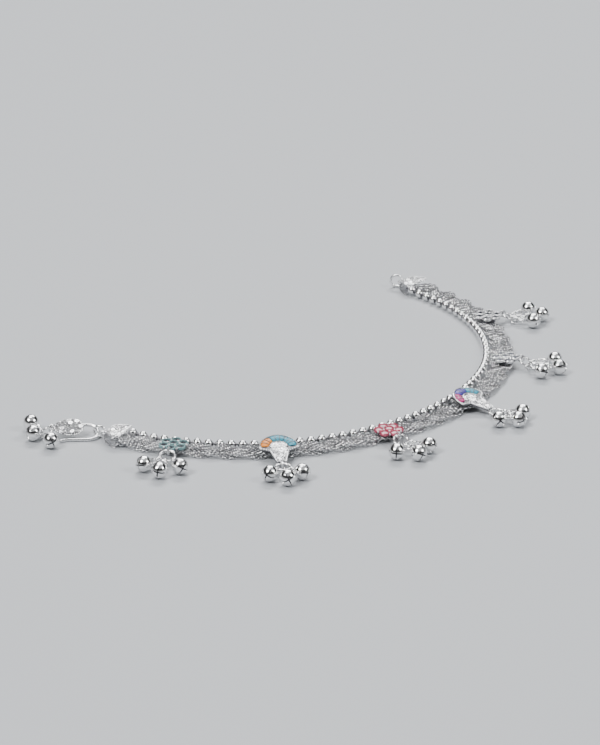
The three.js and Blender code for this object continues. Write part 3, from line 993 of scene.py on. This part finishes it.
@dataclass(frozen=True)
class Flower:
    """Six round collets in a ring and a seventh above them, each with a cut stone in it."""

    stone: Look
    ground: Look
    rim: Look = Look.WORKED
    metal: Look = Look.WORKED
    diameter: float = 9.2
    thickness: float = 1.0
    middle_rise: float = 0.35
    wall: float = 0.36
    stone_inset: float = 0.46
    stone_depth: float = 0.38
    granule: float = 0.34
    granule_rings: tuple[tuple[float, float], ...] = ((1.32, 0.75), (0.62, 1.0))
    plate: float = 0.4
    plate_share: float = 1.25
    bail_sunk: float = 0.12
    chain: float = 5.6

    def collet(self, radius: float, tall: float) -> Shape:
        """A turned cup with a rolled rim, finish 0, whose floor shows as finish 1, the flower's
        ground, put in as painted shade under the stone.

        Args:
            radius: outer radius.
            tall: height of the rim.

        Returns:
            The cup, standing on Z 0.
        """
        wall, inner = self.wall, radius - self.wall
        cup = lathe([(radius * 0.9, 0), (radius, 0.2), (radius, tall - 0.12),
                     (radius - wall * 0.3, tall), (radius - wall * 0.75, tall),
                     (inner, tall - 0.14), (inner, tall - 0.42)], 24)
        floor = lathe([(inner - 0.01, tall - 0.6), (inner - 0.01, tall - 0.4)], 24)
        return together([cup, floor.looking(1)])

    def cut_stone(self, radius: float, base: float) -> Shape:
        """A round-cut stone with a table and eight facets round it, as finish 2.

        Args:
            radius: radius at its widest.
            base: height of its widest line.

        Returns:
            The stone.
        """
        return lathe([(radius * 0.3, base - 0.2), (radius, base), (radius * 0.56, base + 0.24)],
                     8).looking(2)

    def set_stone(self, radius: float, tall: float) -> Shape:
        """Returns a collet with its stone in it."""
        stone = self.cut_stone(radius - self.stone_inset, tall - self.stone_depth)
        return together([self.collet(radius, tall), stone])

    def shape(self) -> Shape:
        """The seven collets and stones, granules in the gaps, a back plate and the bail."""
        size = self.diameter / 6
        out = self.diameter / 2 - size
        angle = np.radians(30 + 60 * np.arange(6))
        places = np.tile(np.eye(4), (6, 1, 1))
        places[:, 0, 3], places[:, 1, 3] = out * np.cos(angle), out * np.sin(angle)
        petals = self.set_stone(size, self.thickness).repeated(places)
        middle = self.set_stone(size, self.thickness + self.middle_rise)
        between = np.radians(60 * np.arange(6))
        beads = np.tile(np.eye(4), (6 * len(self.granule_rings), 1, 1))
        for row, (share, height) in enumerate(self.granule_rings):
            part = slice(6 * row, 6 * row + 6)
            beads[part, 0, 3] = out * share * np.cos(between)
            beads[part, 1, 3] = out * share * np.sin(between)
            beads[part, 2, 3] = height
        granules = ball(self.granule, 10, 20).repeated(beads).looking(3)
        rim = out * self.plate_share
        # The back plate shows between the collets in the ground finish, which is painted shade
        # except on flower_2, whose ground is maroon.
        plate = lathe([(rim, 0), (rim, self.plate)], 36).looking(1)
        hold = bail().moved(shift(0, *self.hold())).looking(3)
        return together([petals, middle, granules, plate, hold])

    def inner_reach(self) -> float:
        """Returns how far the flower's inner edge is from its middle."""
        return self.diameter / 2

    def hold(self) -> tuple[float, float]:
        """Returns y and z of the bail's middle."""
        reach = self.diameter / 2 + BAIL / 2 - BAIL_WIRE - self.bail_sunk
        return -reach, self.thickness / 2

    def looks(self) -> list[Look]:
        """Returns the finishes that the shape's numbers stand for."""
        return [self.rim, self.ground, self.stone, self.metal]


@dataclass(frozen=True)
class Fan:
    """An arch of three enamel pads round a worked plate that narrows to a sloping tongue."""

    enamel: tuple[Look, Look, Look]
    width: float = 12.0
    length: float = 7.6
    thickness: float = 0.8
    waist: float = 6.0
    tongue_width: float = 3.0
    tongue_length: float = 5.6
    tongue_clear: float = 0.6
    motif_base: float = 2.6
    pad_width: float = 3.1
    pad_height: float = 0.5
    pad_sweep: float = 54.0
    pad_spacing: float = 58.0
    pad_margin: float = 0.2
    pad_gap: float = 0.35
    partition_wire: float = 0.24
    outer_wire: tuple[float, float, float] = (0.18, 0.42, 0.06)
    inner_wire: tuple[float, float, float] = (0.25, 0.36, 0.1)
    grain: float = 0.3
    grain_inset: float = 0.25
    curl: tuple[float, float] = (1.12, 0.32)
    curl_pitch: float = 1.06
    curl_margin: float = 0.55
    curl_reach: float = 2.45
    chain: float = 4.3

    @property
    def slope(self) -> float:
        """How much the whole fan slopes down towards its tongue."""
        return asin((self.motif_base - self.tongue_clear) / (self.tongue_length + BAIL))

    def inner_reach(self) -> float:
        """Returns how far the fan's inner edge is from its waist."""
        return self.length

    def hold(self) -> tuple[float, float]:
        """Returns y and z of the bail's middle."""
        reach = self.tongue_length + BAIL / 2 - BAIL_WIRE
        low = self.thickness / 2
        return (-reach * cos(self.slope) - low * sin(self.slope),
                -reach * sin(self.slope) + low * cos(self.slope))

    def half_width(self, y: np.ndarray) -> np.ndarray:
        """Half the width at y: along the tongue, then out to the arch and round its circle.

        Args:
            y: distance from the waist, inwards.

        Returns:
            Half widths.
        """
        radius = self.width / 2
        middle = self.length - radius
        circle = np.sqrt(np.maximum(radius ** 2 - (y - middle) ** 2, 0.0))
        flare = np.interp(y, [-self.tongue_length, 0, middle * 0.7],
                          [self.tongue_width / 2, self.waist / 2, radius * 0.98])
        return np.where(y < middle * 0.7, flare, circle)

    def body(self) -> Shape:
        """The plate: a bar along Y whose half width follows the outline, in finish 1, painted shade
        between the curls.
        """
        y = np.concatenate([np.linspace(-self.tongue_length, self.length - 0.4, 40),
                            self.length - 0.402 + 0.4 * np.sin(np.linspace(0.2, pi / 2, 8))])
        centre = np.stack([0 * y, y, 0 * y + self.thickness / 2], -1)
        over = np.broadcast_to(np.array([0, 0, 1.0]), centre.shape)
        return barred(centre, over, self.half_width(y), np.full(len(y), self.thickness),
                      (1, 0, 0), 5).looking(1)

    def pad(self, heading: float) -> Shape:
        """A cushion of enamel on the arch: a bar along an arc, domed over its width.

        Args:
            heading: the pad's middle, in degrees.

        Returns:
            The pad.
        """
        radius = self.width / 2
        reach = self.pad_sweep / 2
        sweep = np.radians(np.linspace(heading - reach, heading + reach, 20))
        mid = radius - self.pad_margin - self.pad_width / 2
        centre = np.stack([mid * np.cos(sweep), mid * np.sin(sweep) + self.length - radius,
                           0 * sweep + self.thickness], -1)
        radial = np.stack([np.cos(sweep), np.sin(sweep), 0 * sweep], -1)
        taper = np.sin(np.linspace(0.25, pi - 0.25, 20)) ** 0.3
        angle = np.linspace(0, 2 * pi, 24, endpoint=False)
        half = (self.pad_width - self.pad_gap) / 2 * taper
        rise = self.pad_height * taper
        grid = (centre[:, None] + radial[:, None] * (half[:, None] * np.cos(angle))[..., None]
                + np.array([0, 0, 1.0]) * (rise[:, None] * np.sin(angle))[..., None])
        return wrapped(grid)

    def partition(self, heading: float) -> Shape:
        """A fine wire across a pad, over its dome: the height is the dome's half oval.

        Args:
            heading: where it crosses the arch, in degrees.

        Returns:
            The wire.
        """
        across = np.linspace(-0.96, 0.96, 9)
        middle = self.length - self.width / 2
        radius = (self.width / 2 - self.pad_margin - self.pad_width / 2
                  + across * (self.pad_width - self.pad_gap) / 2)
        way = radians(heading)
        rise = self.thickness + self.pad_height * np.sqrt(1 - across ** 2)
        path = np.stack([radius * cos(way), radius * sin(way) + middle, rise], -1)
        return swept(path, self.partition_wire, 6)

    def arc_wire(self, radius: float, wire: float, height: float) -> Shape:
        """A wire that follows the arch at some radius.

        Args:
            radius: radius of the wire's middle line.
            wire: its diameter.
            height: height of its middle.

        Returns:
            The wire.
        """
        sweep = np.radians(np.linspace(0, 180, 60))
        middle = self.length - self.width / 2
        path = np.stack([radius * np.cos(sweep), radius * np.sin(sweep) + middle,
                         0 * sweep + height], -1)
        return swept(path, wire, 8)

    def edge_wire(self, sign: int) -> Shape:
        """Returns the row of grains along one edge, from the arch to the tongue's end."""
        y = np.linspace(self.length - self.width / 2, -self.tongue_length + 0.2, 26)
        grains = np.tile(np.eye(4), (len(y), 1, 1))
        grains[:, 0, 3] = sign * (self.half_width(y) - self.grain_inset)
        grains[:, 1, 3] = y
        grains[:, 2, 3] = self.thickness
        return ball(self.grain, 9, 20).repeated(grains)

    def curls(self) -> Shape:
        """Little wire curls, packed over the body inside the arch and down the tongue."""
        low = (-5.5, -self.tongue_length + self.curl_margin)
        x, y = packed_circles(low, (5.5, 4.4), self.curl_pitch).T
        middle = self.length - self.width / 2
        inside = np.abs(x) < self.half_width(y) - self.curl_margin
        inside &= np.hypot(x, np.maximum(y - middle, 0)) < self.curl_reach
        inside &= (y < middle - 1.1) | (np.abs(x) < self.curl_reach)
        x, y = x[inside], y[inside]
        return curls_at(np.stack([x, y, 0 * x + self.thickness + 0.06], -1), *self.curl)

    def shape(self) -> Shape:
        """The whole fan, with finish 0 on the metal, 1 on the partitions and as painted shade on
        the ground and in the curls, and 2 to 4 on the enamel.
        """
        parts = [self.body(), self.curls(), self.edge_wire(-1), self.edge_wire(1)]
        for edge, (inset, wire, lift) in ((self.width / 2, self.outer_wire),
                                          (self.width / 2 - self.pad_width, self.inner_wire)):
            parts.append(self.arc_wire(edge - inset, wire, self.thickness + lift))
        for number, arm in enumerate((1, 0, -1)):
            heading = 90 + arm * self.pad_spacing
            parts.append(self.pad(heading).looking(2 + number))
            parts += [self.partition(heading + sign * self.pad_sweep / 6).looking(1)
                      for sign in (-1, 1)]
        sloping = together(parts).moved(turn(0, self.slope))
        return together([sloping, bail().moved(shift(0, *self.hold()))])

    def looks(self) -> list[Look]:
        """Returns the finishes that the shape's numbers stand for."""
        return [Look.WORKED, Look.DARK_AND_SHADE, *self.enamel]


@dataclass(frozen=True)
class Motif:
    """Where one motif sits on the band, how far its drop swings, and what it is."""

    name: str
    station: float
    swing: float
    kind: Flower | Fan


MOTIFS = (
    Motif("flower_1", 18, 5, Flower(Look.SMOKE, Look.DARK_AND_SHADE, Look.MIST)),
    Motif("fan_1", 47.5, 0, Fan((Look.ORANGE, Look.TEAL, Look.TEAL))),
    Motif("flower_2", 81.2, -8, Flower(Look.ROSE, Look.MAROON, Look.PINK)),
    Motif("fan_2", 114.3, -18, Fan((Look.MAGENTA, Look.VIOLET, Look.TEAL))),
    Motif("flower_3", 149.3, -18, Flower(Look.CLEAR, Look.DARK_AND_SHADE)),
    Motif("flower_4", 184.5, -14, Flower(Look.SMOKE, Look.DARK_AND_SHADE)),
)


@dataclass
class MotifRow:
    """The six motifs with their drops and bells."""

    route: Route
    base: float = 2.6
    inner: float = 1.55
    drop_ring: tuple[float, float] = (5.3, 4.6)

    def build(self, bench: Bench) -> None:
        """Adds each motif, its wires and its three bells."""
        for number, motif in enumerate(MOTIFS, 1):
            station = self.route.station(motif.station)
            kind = motif.kind
            middle = -self.inner - kind.inner_reach()
            hold = kind.hold()
            place = station @ shift(0, middle, self.base)
            bench.add(f"{motif.name}_motif", kind.shape().moved(place), kind.looks(),
                      "worked_silver", [motif.name], 19)
            frame = station @ shift(0, middle + hold[0], 0) @ turn(2, radians(motif.swing))
            drop = Drop(*self.drop_ring, self.base + hold[1], three_chains(kind.chain))
            wires, bells = drop.build(frame)
            bench.add(f"drop_wires_{number}", wires, [Look.POLISHED], "polished_silver",
                      [f"drop_links_{number}"], 60)
            for count, (side, matrix) in enumerate(bells.items()):
                bell = Bell.shape(GOLDEN * (3 * number + count)).moved(matrix)
                bench.add(f"round_bell_{number}_{side}", bell, [Look.POLISHED, Look.SLIT_SHADE],
                          "polished_silver", [f"bell_{number}_{side}"], 35)


# The two ends

@dataclass
class EndCap:
    """A strip folded over at its tip, cut to a taper, with curls on its top and a lug."""

    plate: float = 0.4
    length: float = 5.6
    tip_width: float = 4.2
    mouth: float = 10.2
    cover: float = 1.4
    top: float = 3.6
    rim_wire: float = 0.34
    rim_inset: float = 0.16
    curl_pitch: float = 1.2
    curl_margin: float = 0.6
    lug_reach: float = (3.0 - 0.7) / 2
    lug_wire: float = 0.7
    lug_sunk: float = 0.12

    def half_width(self, x: np.ndarray) -> np.ndarray:
        """Returns half the width at x, straight from the tip to the mouth."""
        return np.interp(x, [-1, self.length - self.cover], [self.tip_width / 2, self.mouth / 2])

    def shape(self) -> Shape:
        """The folded strip, whose side line runs in, round a half circle and out again.

        Returns:
            The cap with finish 0 on the metal and 1, painted shade, under and inside the curls,
            pointing along -X.
        """
        radius = (self.top - self.plate) / 2
        bend = np.linspace(-pi / 2, pi / 2, 17)
        flat = np.linspace(self.length, self.top / 2, 12)
        x = np.concatenate([flat, self.top / 2 - radius * np.cos(bend)[1:-1], flat[::-1]])
        z = np.concatenate([0 * flat + self.plate / 2, self.top / 2 + radius * np.sin(bend)[1:-1],
                            0 * flat + self.top - self.plate / 2])
        centre = np.stack([x, 0 * x, z], -1)
        along = unit(np.gradient(centre, axis=0))
        over = np.cross(along, np.array([0, 1.0, 0]))
        strip = barred(centre, over, self.half_width(x), np.full(len(x), self.plate), steps=5)
        around = len(strip.quads) // (len(x) - 1)
        upper = np.arange(len(x) - 1) >= len(x) - len(flat)
        outer = np.abs((np.arange(around) + 0.5) / around - 0.25) < 0.2
        # Finish 1 on the top's outer faces is painted shade between the curls.
        strip = replace(strip, quad_look=(upper[:, None] & outer).astype(int).ravel())
        px, py = packed_circles((0.9, -4.6), (self.length - 0.5, 4.6), self.curl_pitch).T
        keep = np.abs(py) < self.half_width(px) - self.curl_margin
        curls = curls_at(np.stack([px[keep], py[keep], 0 * px[keep] + self.top + 0.02], -1))
        edge = np.linspace(0.6, self.length - 0.1, 20)
        side = self.half_width(edge) - self.rim_inset
        mouth = np.linspace(-1, 1, 20) * (self.mouth / 2 - 0.1)
        rims = [swept(np.stack([x, y, 0 * x + self.top], -1), self.rim_wire, 8)
                for x, y in ((edge, -side), (edge, side),
                             (0 * mouth + self.length - self.rim_inset, mouth))]
        size = 2 * self.lug_reach + self.lug_wire
        lug = link(size, size, self.lug_wire, 24, 8)
        lug = lug.moved(shift(self.lug_sunk - self.lug_reach, 0, self.top / 2))
        return together([strip, curls, *rims, lug])


@dataclass
class Hook:
    """The bent wire with its leaf plate and bail, made in the hook's own frame."""

    wire: float = 0.95
    length: float = 14.0
    width: float = 7.0
    tilt: float = radians(24)
    leaf_length: float = 9.0
    leaf_width: float = 6.4
    leaf_thickness: float = 1.2
    leaf_setback: float = 9.0
    tip_short: float = 2.4
    flare: float = 1.1
    leaf_sunk: float = 0.12
    leaf_spread: float = 0.18
    curl: tuple[float, float] = (1.36, 0.4)
    curl_pitch: float = 1.26
    curls_within: float = 0.86
    bead: float = 0.38
    bead_share: float = 0.95
    tassel_turn: float = radians(-64)

    @property
    def radius(self) -> float:
        """From the hook's middle line to its arms."""
        return (self.width - self.wire) / 2

    def seat(self) -> tuple[float, float, float]:
        """Returns the middle of the leaf's underside before the hook leans."""
        return (-self.leaf_setback, self.radius - self.leaf_width / 4,
                self.wire / 2 - self.leaf_sunk)

    def hold(self) -> np.ndarray:
        """Returns the middle of the tassel's bail in the hook's frame."""
        x, y, z = self.seat()
        middle = z + self.leaf_thickness / 4
        out = BAIL / 2 - BAIL_WIRE
        return np.array([
            x - self.leaf_length / 2 - out * sin(-self.tassel_turn),
            y * cos(self.tilt) - middle * sin(self.tilt) - out * cos(self.tassel_turn),
            y * sin(self.tilt) + middle * cos(self.tilt)])

    def bent_wire(self) -> Shape:
        """Two straight arms and a half circle, smoothed, with the free tip flared outwards."""
        arm = self.length - self.radius
        bend = np.linspace(-pi / 2, pi / 2, 40)
        arc = np.stack([self.radius * (np.cos(bend) - 1), self.radius * np.sin(bend), 0 * bend], -1)
        count = 24
        lower_x = np.linspace(self.tip_short - self.length, -self.radius - 0.2, count)
        fall = np.clip((self.tip_short - arm - lower_x) / self.radius, 0, 1) ** 1.5 * self.flare
        lower = np.stack([lower_x, -self.radius - fall, fall * tan(self.tilt)], -1)
        upper_x = np.linspace(-self.radius - 0.2, -self.length, count)
        drop = np.clip((-arm - upper_x) / self.radius, 0, 1) ** 1.5 * self.flare
        upper = np.stack([upper_x, self.radius - drop, 0 * upper_x], -1)
        path = np.concatenate([lower, arc, upper])
        ends = np.ones(len(path))
        ends[[0, -1]] = 0.7
        return swept(path, self.wire, 14, width=ends)

    def leaf(self) -> Shape:
        """The domed leaf: an oval wider at its inner end, with curls on it and a beaded rim.

        Its half width at x is the oval's, times one plus the spread times x over half the length,
        and its height is the dome's, the root of one less the share of the way out squared.

        Returns:
            The leaf round its seat, with finish 1, painted shade, under and inside the curls.
        """
        half_x, half_y = self.leaf_length / 2, self.leaf_width / 2
        share = np.concatenate([np.linspace(0.04, 1, 12), [1.0, 0.9]])
        lift = np.concatenate([np.sqrt(1 - np.linspace(0.04, 0.97, 12) ** 2), [0.0, 0.0]])
        angle = np.linspace(0, 2 * pi, 48, endpoint=False)
        x = half_x * share[:, None] * np.cos(angle)
        y = self.widening(x) * half_y * share[:, None] * np.sin(angle)
        z = self.leaf_thickness * lift[:, None] + 0 * x
        # The leaf's body takes finish 1, painted shade between the curls.
        body = wrapped(np.stack([x, y, z], -1)).looking(1)
        px, py = packed_circles((-half_x, -half_y), (half_x, half_y), self.curl_pitch).T
        reach = np.hypot(px / half_x, py / (half_y * self.widening(px)))
        inside = reach < self.curls_within
        px, py, reach = px[inside], py[inside], reach[inside]
        height = self.leaf_thickness * np.sqrt(1 - (0.97 * reach) ** 2) + 0.05
        curls = curls_at(np.stack([px, py, height], -1), *self.curl)
        edge = np.linspace(0, 2 * pi, 34, endpoint=False)
        beads = np.tile(np.eye(4), (len(edge), 1, 1))
        beads[:, 0, 3] = self.bead_share * half_x * np.cos(edge)
        beads[:, 1, 3] = (self.bead_share * half_y * self.widening(beads[:, 0, 3])
                          * np.sin(edge))
        beads[:, 2, 3] = 0.3
        rim = ball(self.bead, 6, 10).repeated(beads)
        return together([body, curls, rim])

    def widening(self, x: np.ndarray) -> np.ndarray:
        """Returns how much wider the leaf is at x than its plain oval."""
        return 1 + self.leaf_spread * x / (self.leaf_length / 2)

    def shape(self) -> Shape:
        """The wire and leaf, leaned up together, and the upright bail at the leaf's far end."""
        lean = turn(0, self.tilt)
        leaf = self.leaf().moved(shift(*self.seat())).moved(lean)
        hold = bail().moved(shift(*self.hold()) @ turn(2, self.tassel_turn))
        return together([self.bent_wire().moved(lean), leaf, hold])


@dataclass
class Ends:
    """Both caps with their rings, the hook and the tassel."""

    route: Route
    cap: EndCap = field(default_factory=EndCap)
    hook: Hook = field(default_factory=Hook)
    band_middle: float = 8.35 - 9.6 / 2
    end_ring: tuple[float, float, float] = (4.8, 0.8, radians(40))
    hook_ring: tuple[float, float, float] = (4.2, 0.7, radians(15))
    hook_turn: float = radians(14)
    hook_gap: float = 0.45
    tassel_ring: tuple[float, float] = (4.6, 4.6)
    tassel_length: float = 4.2

    def capped(self, bench: Bench, name: str, node: str,
               at_start: bool) -> tuple[np.ndarray, float]:
        """Adds a cap at one end of the band.

        Args:
            bench: where pieces are made.
            name: the piece's name.
            node: the CAD node it stands for.
            at_start: True for the hook's end.

        Returns:
            The frame of the lug's hole with -X away from the band, and the hole's height.
        """
        frame = self.route.station(0 if at_start else self.route.length)
        if not at_start:
            frame = frame @ turn(2, pi)
        across = (-1 if at_start else 1) * self.band_middle
        tip = self.cap.cover - self.cap.length
        place = frame @ shift(tip, across, 0)
        bench.add(name, self.cap.shape().moved(place), [Look.WORKED, Look.DARK_AND_SHADE], "satin_silver",
                  [node], 40)
        hole = frame @ shift(tip - self.cap.lug_reach + self.cap.lug_sunk, across, 0)
        return hole, self.cap.top / 2

    def ringed(self, bench: Bench, node: str, hole: np.ndarray, height: float,
               sizes: tuple[float, float, float]) -> tuple[np.ndarray, float]:
        """Adds a ring that stands on the surface through a lug.

        Args:
            bench: where pieces are made.
            node: the CAD node it stands for.
            hole: the frame of the lug's hole.
            height: the hole's height.
            sizes: diameter, wire and turn of the ring.

        Returns:
            The ring's frame, and how far its outermost wire's middle is along X.
        """
        diameter, wire, angle = sizes
        frame = hole @ turn(2, angle)
        radius = (diameter - wire) / 2
        middle = -sqrt(radius ** 2 - (height - diameter / 2) ** 2)
        ring = link(diameter, diameter, wire, 40, 12).moved(turn(0, pi / 2))
        bench.add(f"{node}_wire", ring.moved(frame @ shift(middle, 0, diameter / 2)),
                  [Look.POLISHED], "polished_silver", [node], 60)
        return frame, middle - radius

    def build(self, bench: Bench) -> None:
        """Adds the ring's end, then the hook's end with the tassel."""
        hole, height = self.capped(bench, "ring_end_cap_strip", "ring_end_cap", False)
        self.ringed(bench, "end_ring", hole, height, self.end_ring)
        hole, height = self.capped(bench, "hook_end_cap_strip", "hook_end_cap", True)
        ring, far = self.ringed(bench, "hook_ring", hole, height, self.hook_ring)
        bend = far + (self.hook_ring[1] + self.hook.wire) / 2 + self.hook_gap
        low = self.hook.radius * sin(self.hook.tilt) + self.hook.wire / 2 + 0.05
        frame = ring @ shift(bend, 0, low) @ turn(2, self.hook_turn)
        bench.add("hook_wire_and_leaf", self.hook.shape().moved(frame), [Look.POLISHED, Look.MID_SHADE],
                  "polished_silver", ["hook_clasp"], 45)
        hold = self.hook.hold()
        tassel = frame @ shift(hold[0], hold[1], -low) @ turn(2, self.hook.tassel_turn)
        chains = (Chain("left", -62, -80, self.tassel_length), Chain("middle", 0, 0, 0.0),
                  Chain("right", 62, 80, self.tassel_length))
        wires, bells = Drop(*self.tassel_ring, low + hold[2], chains).build(tassel)
        bench.add("tassel_wires", wires, [Look.POLISHED], "polished_silver", ["tassel_links"], 60)
        for count, (side, matrix) in enumerate(bells.items()):
            bench.add(f"tassel_round_bell_{side}", Bell.shape(GOLDEN * count).moved(matrix),
                      [Look.POLISHED, Look.SLIT_SHADE], "polished_silver", [f"tassel_bell_{side}"], 35)


# Studio

@dataclass(frozen=True)
class Lamp:
    """A soft rectangular lamp, before the studio's reach: place and size in metres, power in W."""

    name: str
    place: tuple[float, float, float]
    size: tuple[float, float]
    power: float


@dataclass
class Studio:
    """Floor, lights, surroundings and camera."""

    camera_place: tuple[float, float, float] = (-0.0154, -0.9435, 0.3853)
    target: tuple[float, float, float] = (0.0, 0.0, 0.0025)
    lens: float = 154.0
    lamps: tuple[Lamp, ...] = (
        Lamp("key", (-0.7, -0.5, 1.1), (0.4, 0.5), 19),
        Lamp("fill", (0.9, -0.3, 0.8), (0.3, 0.4), 8),
        Lamp("back", (0.1, 1.0, 0.9), (0.8, 0.25), 14),
        Lamp("top", (-0.15, 0.4, 1.3), (0.5, 0.35), 6),
    )
    lamp_reach: float = 2.5
    sky: tuple[tuple[float, float], ...] = (
        (0.0, 0.76), (1.0, 0.85), (0.16, 0.7), (0.32, 0.05), (0.62, 0.06), (0.84, 0.9))
    sky_strength: float = 0.6
    floor_size: float = 3.0
    floor_colour: tuple[float, float, float, float] = (0.4, 0.415, 0.435, 1)
    floor_roughness: float = 0.6

    def floor(self) -> None:
        """Lays a plain pale floor."""
        mesh = bpy.data.meshes.new("floor")
        size = self.floor_size
        corners = [(-size, -size, 0), (size, -size, 0), (size, size, 0), (-size, size, 0)]
        mesh.from_pydata(corners, [], [(0, 1, 2, 3)])
        material = bpy.data.materials.new("pale_floor")
        material.use_nodes = True
        shader = material.node_tree.nodes["Principled BSDF"]
        shader.inputs["Base Color"].default_value = self.floor_colour
        shader.inputs["Roughness"].default_value = self.floor_roughness
        mesh.materials.append(material)
        piece = bpy.data.objects.new("floor", mesh)
        bpy.context.scene.collection.objects.link(piece)

    def light(self, lamp: Lamp) -> None:
        """Adds a lamp that faces the anklet.

        Its place and size are times the lamps' reach, and its power times the reach squared, which
        keeps the light on the anklet and spreads it over more of the floor.

        Args:
            lamp: which lamp.
        """
        light = bpy.data.lights.new(lamp.name, "AREA")
        light.shape = "RECTANGLE"
        light.size, light.size_y = lamp.size[0] * self.lamp_reach, lamp.size[1] * self.lamp_reach
        light.energy = lamp.power * self.lamp_reach ** 2
        holder = bpy.data.objects.new(lamp.name, light)
        holder.location = tuple(self.lamp_reach * value for value in lamp.place)
        holder.rotation_euler = self.facing(lamp.place, (0.0, 0.0, 0.0))
        bpy.context.scene.collection.objects.link(holder)

    @staticmethod
    def facing(place: tuple[float, float, float],
               target: tuple[float, float, float]) -> tuple[float, float, float]:
        """Returns the Euler turn with which an object at place looks at target."""
        way = np.array(target) - np.array(place)
        flat = float(np.hypot(way[0], way[1]))
        return (pi / 2 + float(np.arctan2(way[2], flat)), 0.0, float(np.arctan2(-way[0], way[1])))

    def surroundings(self) -> None:
        """Gives the silver a room to mirror: pale at the horizon and above, with a dark band."""
        world = bpy.data.worlds.new("studio")
        bpy.context.scene.world = world
        world.use_nodes = True
        nodes, links = world.node_tree.nodes, world.node_tree.links
        place = nodes.new("ShaderNodeTexCoord")
        split = nodes.new("ShaderNodeSeparateXYZ")
        ramp = nodes.new("ShaderNodeValToRGB")
        stops = ramp.color_ramp.elements
        for index, (height, grey) in enumerate(self.sky):
            stop = stops[index] if index < 2 else stops.new(height)
            stop.position = height
            stop.color = (grey, grey * 1.01, grey * 1.03, 1)
        links.new(place.outputs["Generated"], split.inputs["Vector"])
        links.new(split.outputs["Z"], ramp.inputs["Fac"])
        links.new(ramp.outputs["Color"], nodes["Background"].inputs["Color"])
        nodes["Background"].inputs["Strength"].default_value = self.sky_strength

    def camera(self) -> None:
        """Sets the camera at the photograph's height and distance."""
        data = bpy.data.cameras.new("camera")
        data.lens = self.lens
        data.sensor_width = 36
        data.clip_start = 0.01
        camera = bpy.data.objects.new("camera", data)
        camera.location = self.camera_place
        camera.rotation_euler = self.facing(self.camera_place, self.target)
        bpy.context.scene.collection.objects.link(camera)
        bpy.context.scene.camera = camera

    def build(self) -> None:
        """Adds everything round the anklet."""
        self.floor()
        for lamp in self.lamps:
            self.light(lamp)
        self.surroundings()
        self.camera()


def main() -> None:
    logging.basicConfig(level=logging.INFO, format="%(message)s")
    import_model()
    bench = Bench()
    route = Route()
    BeadRow(route).build(bench)
    Plait(route).build(bench)
    MotifRow(route).build(bench)
    Ends(route).build(bench)
    Studio().build()


if __name__ == "__main__":
    main()
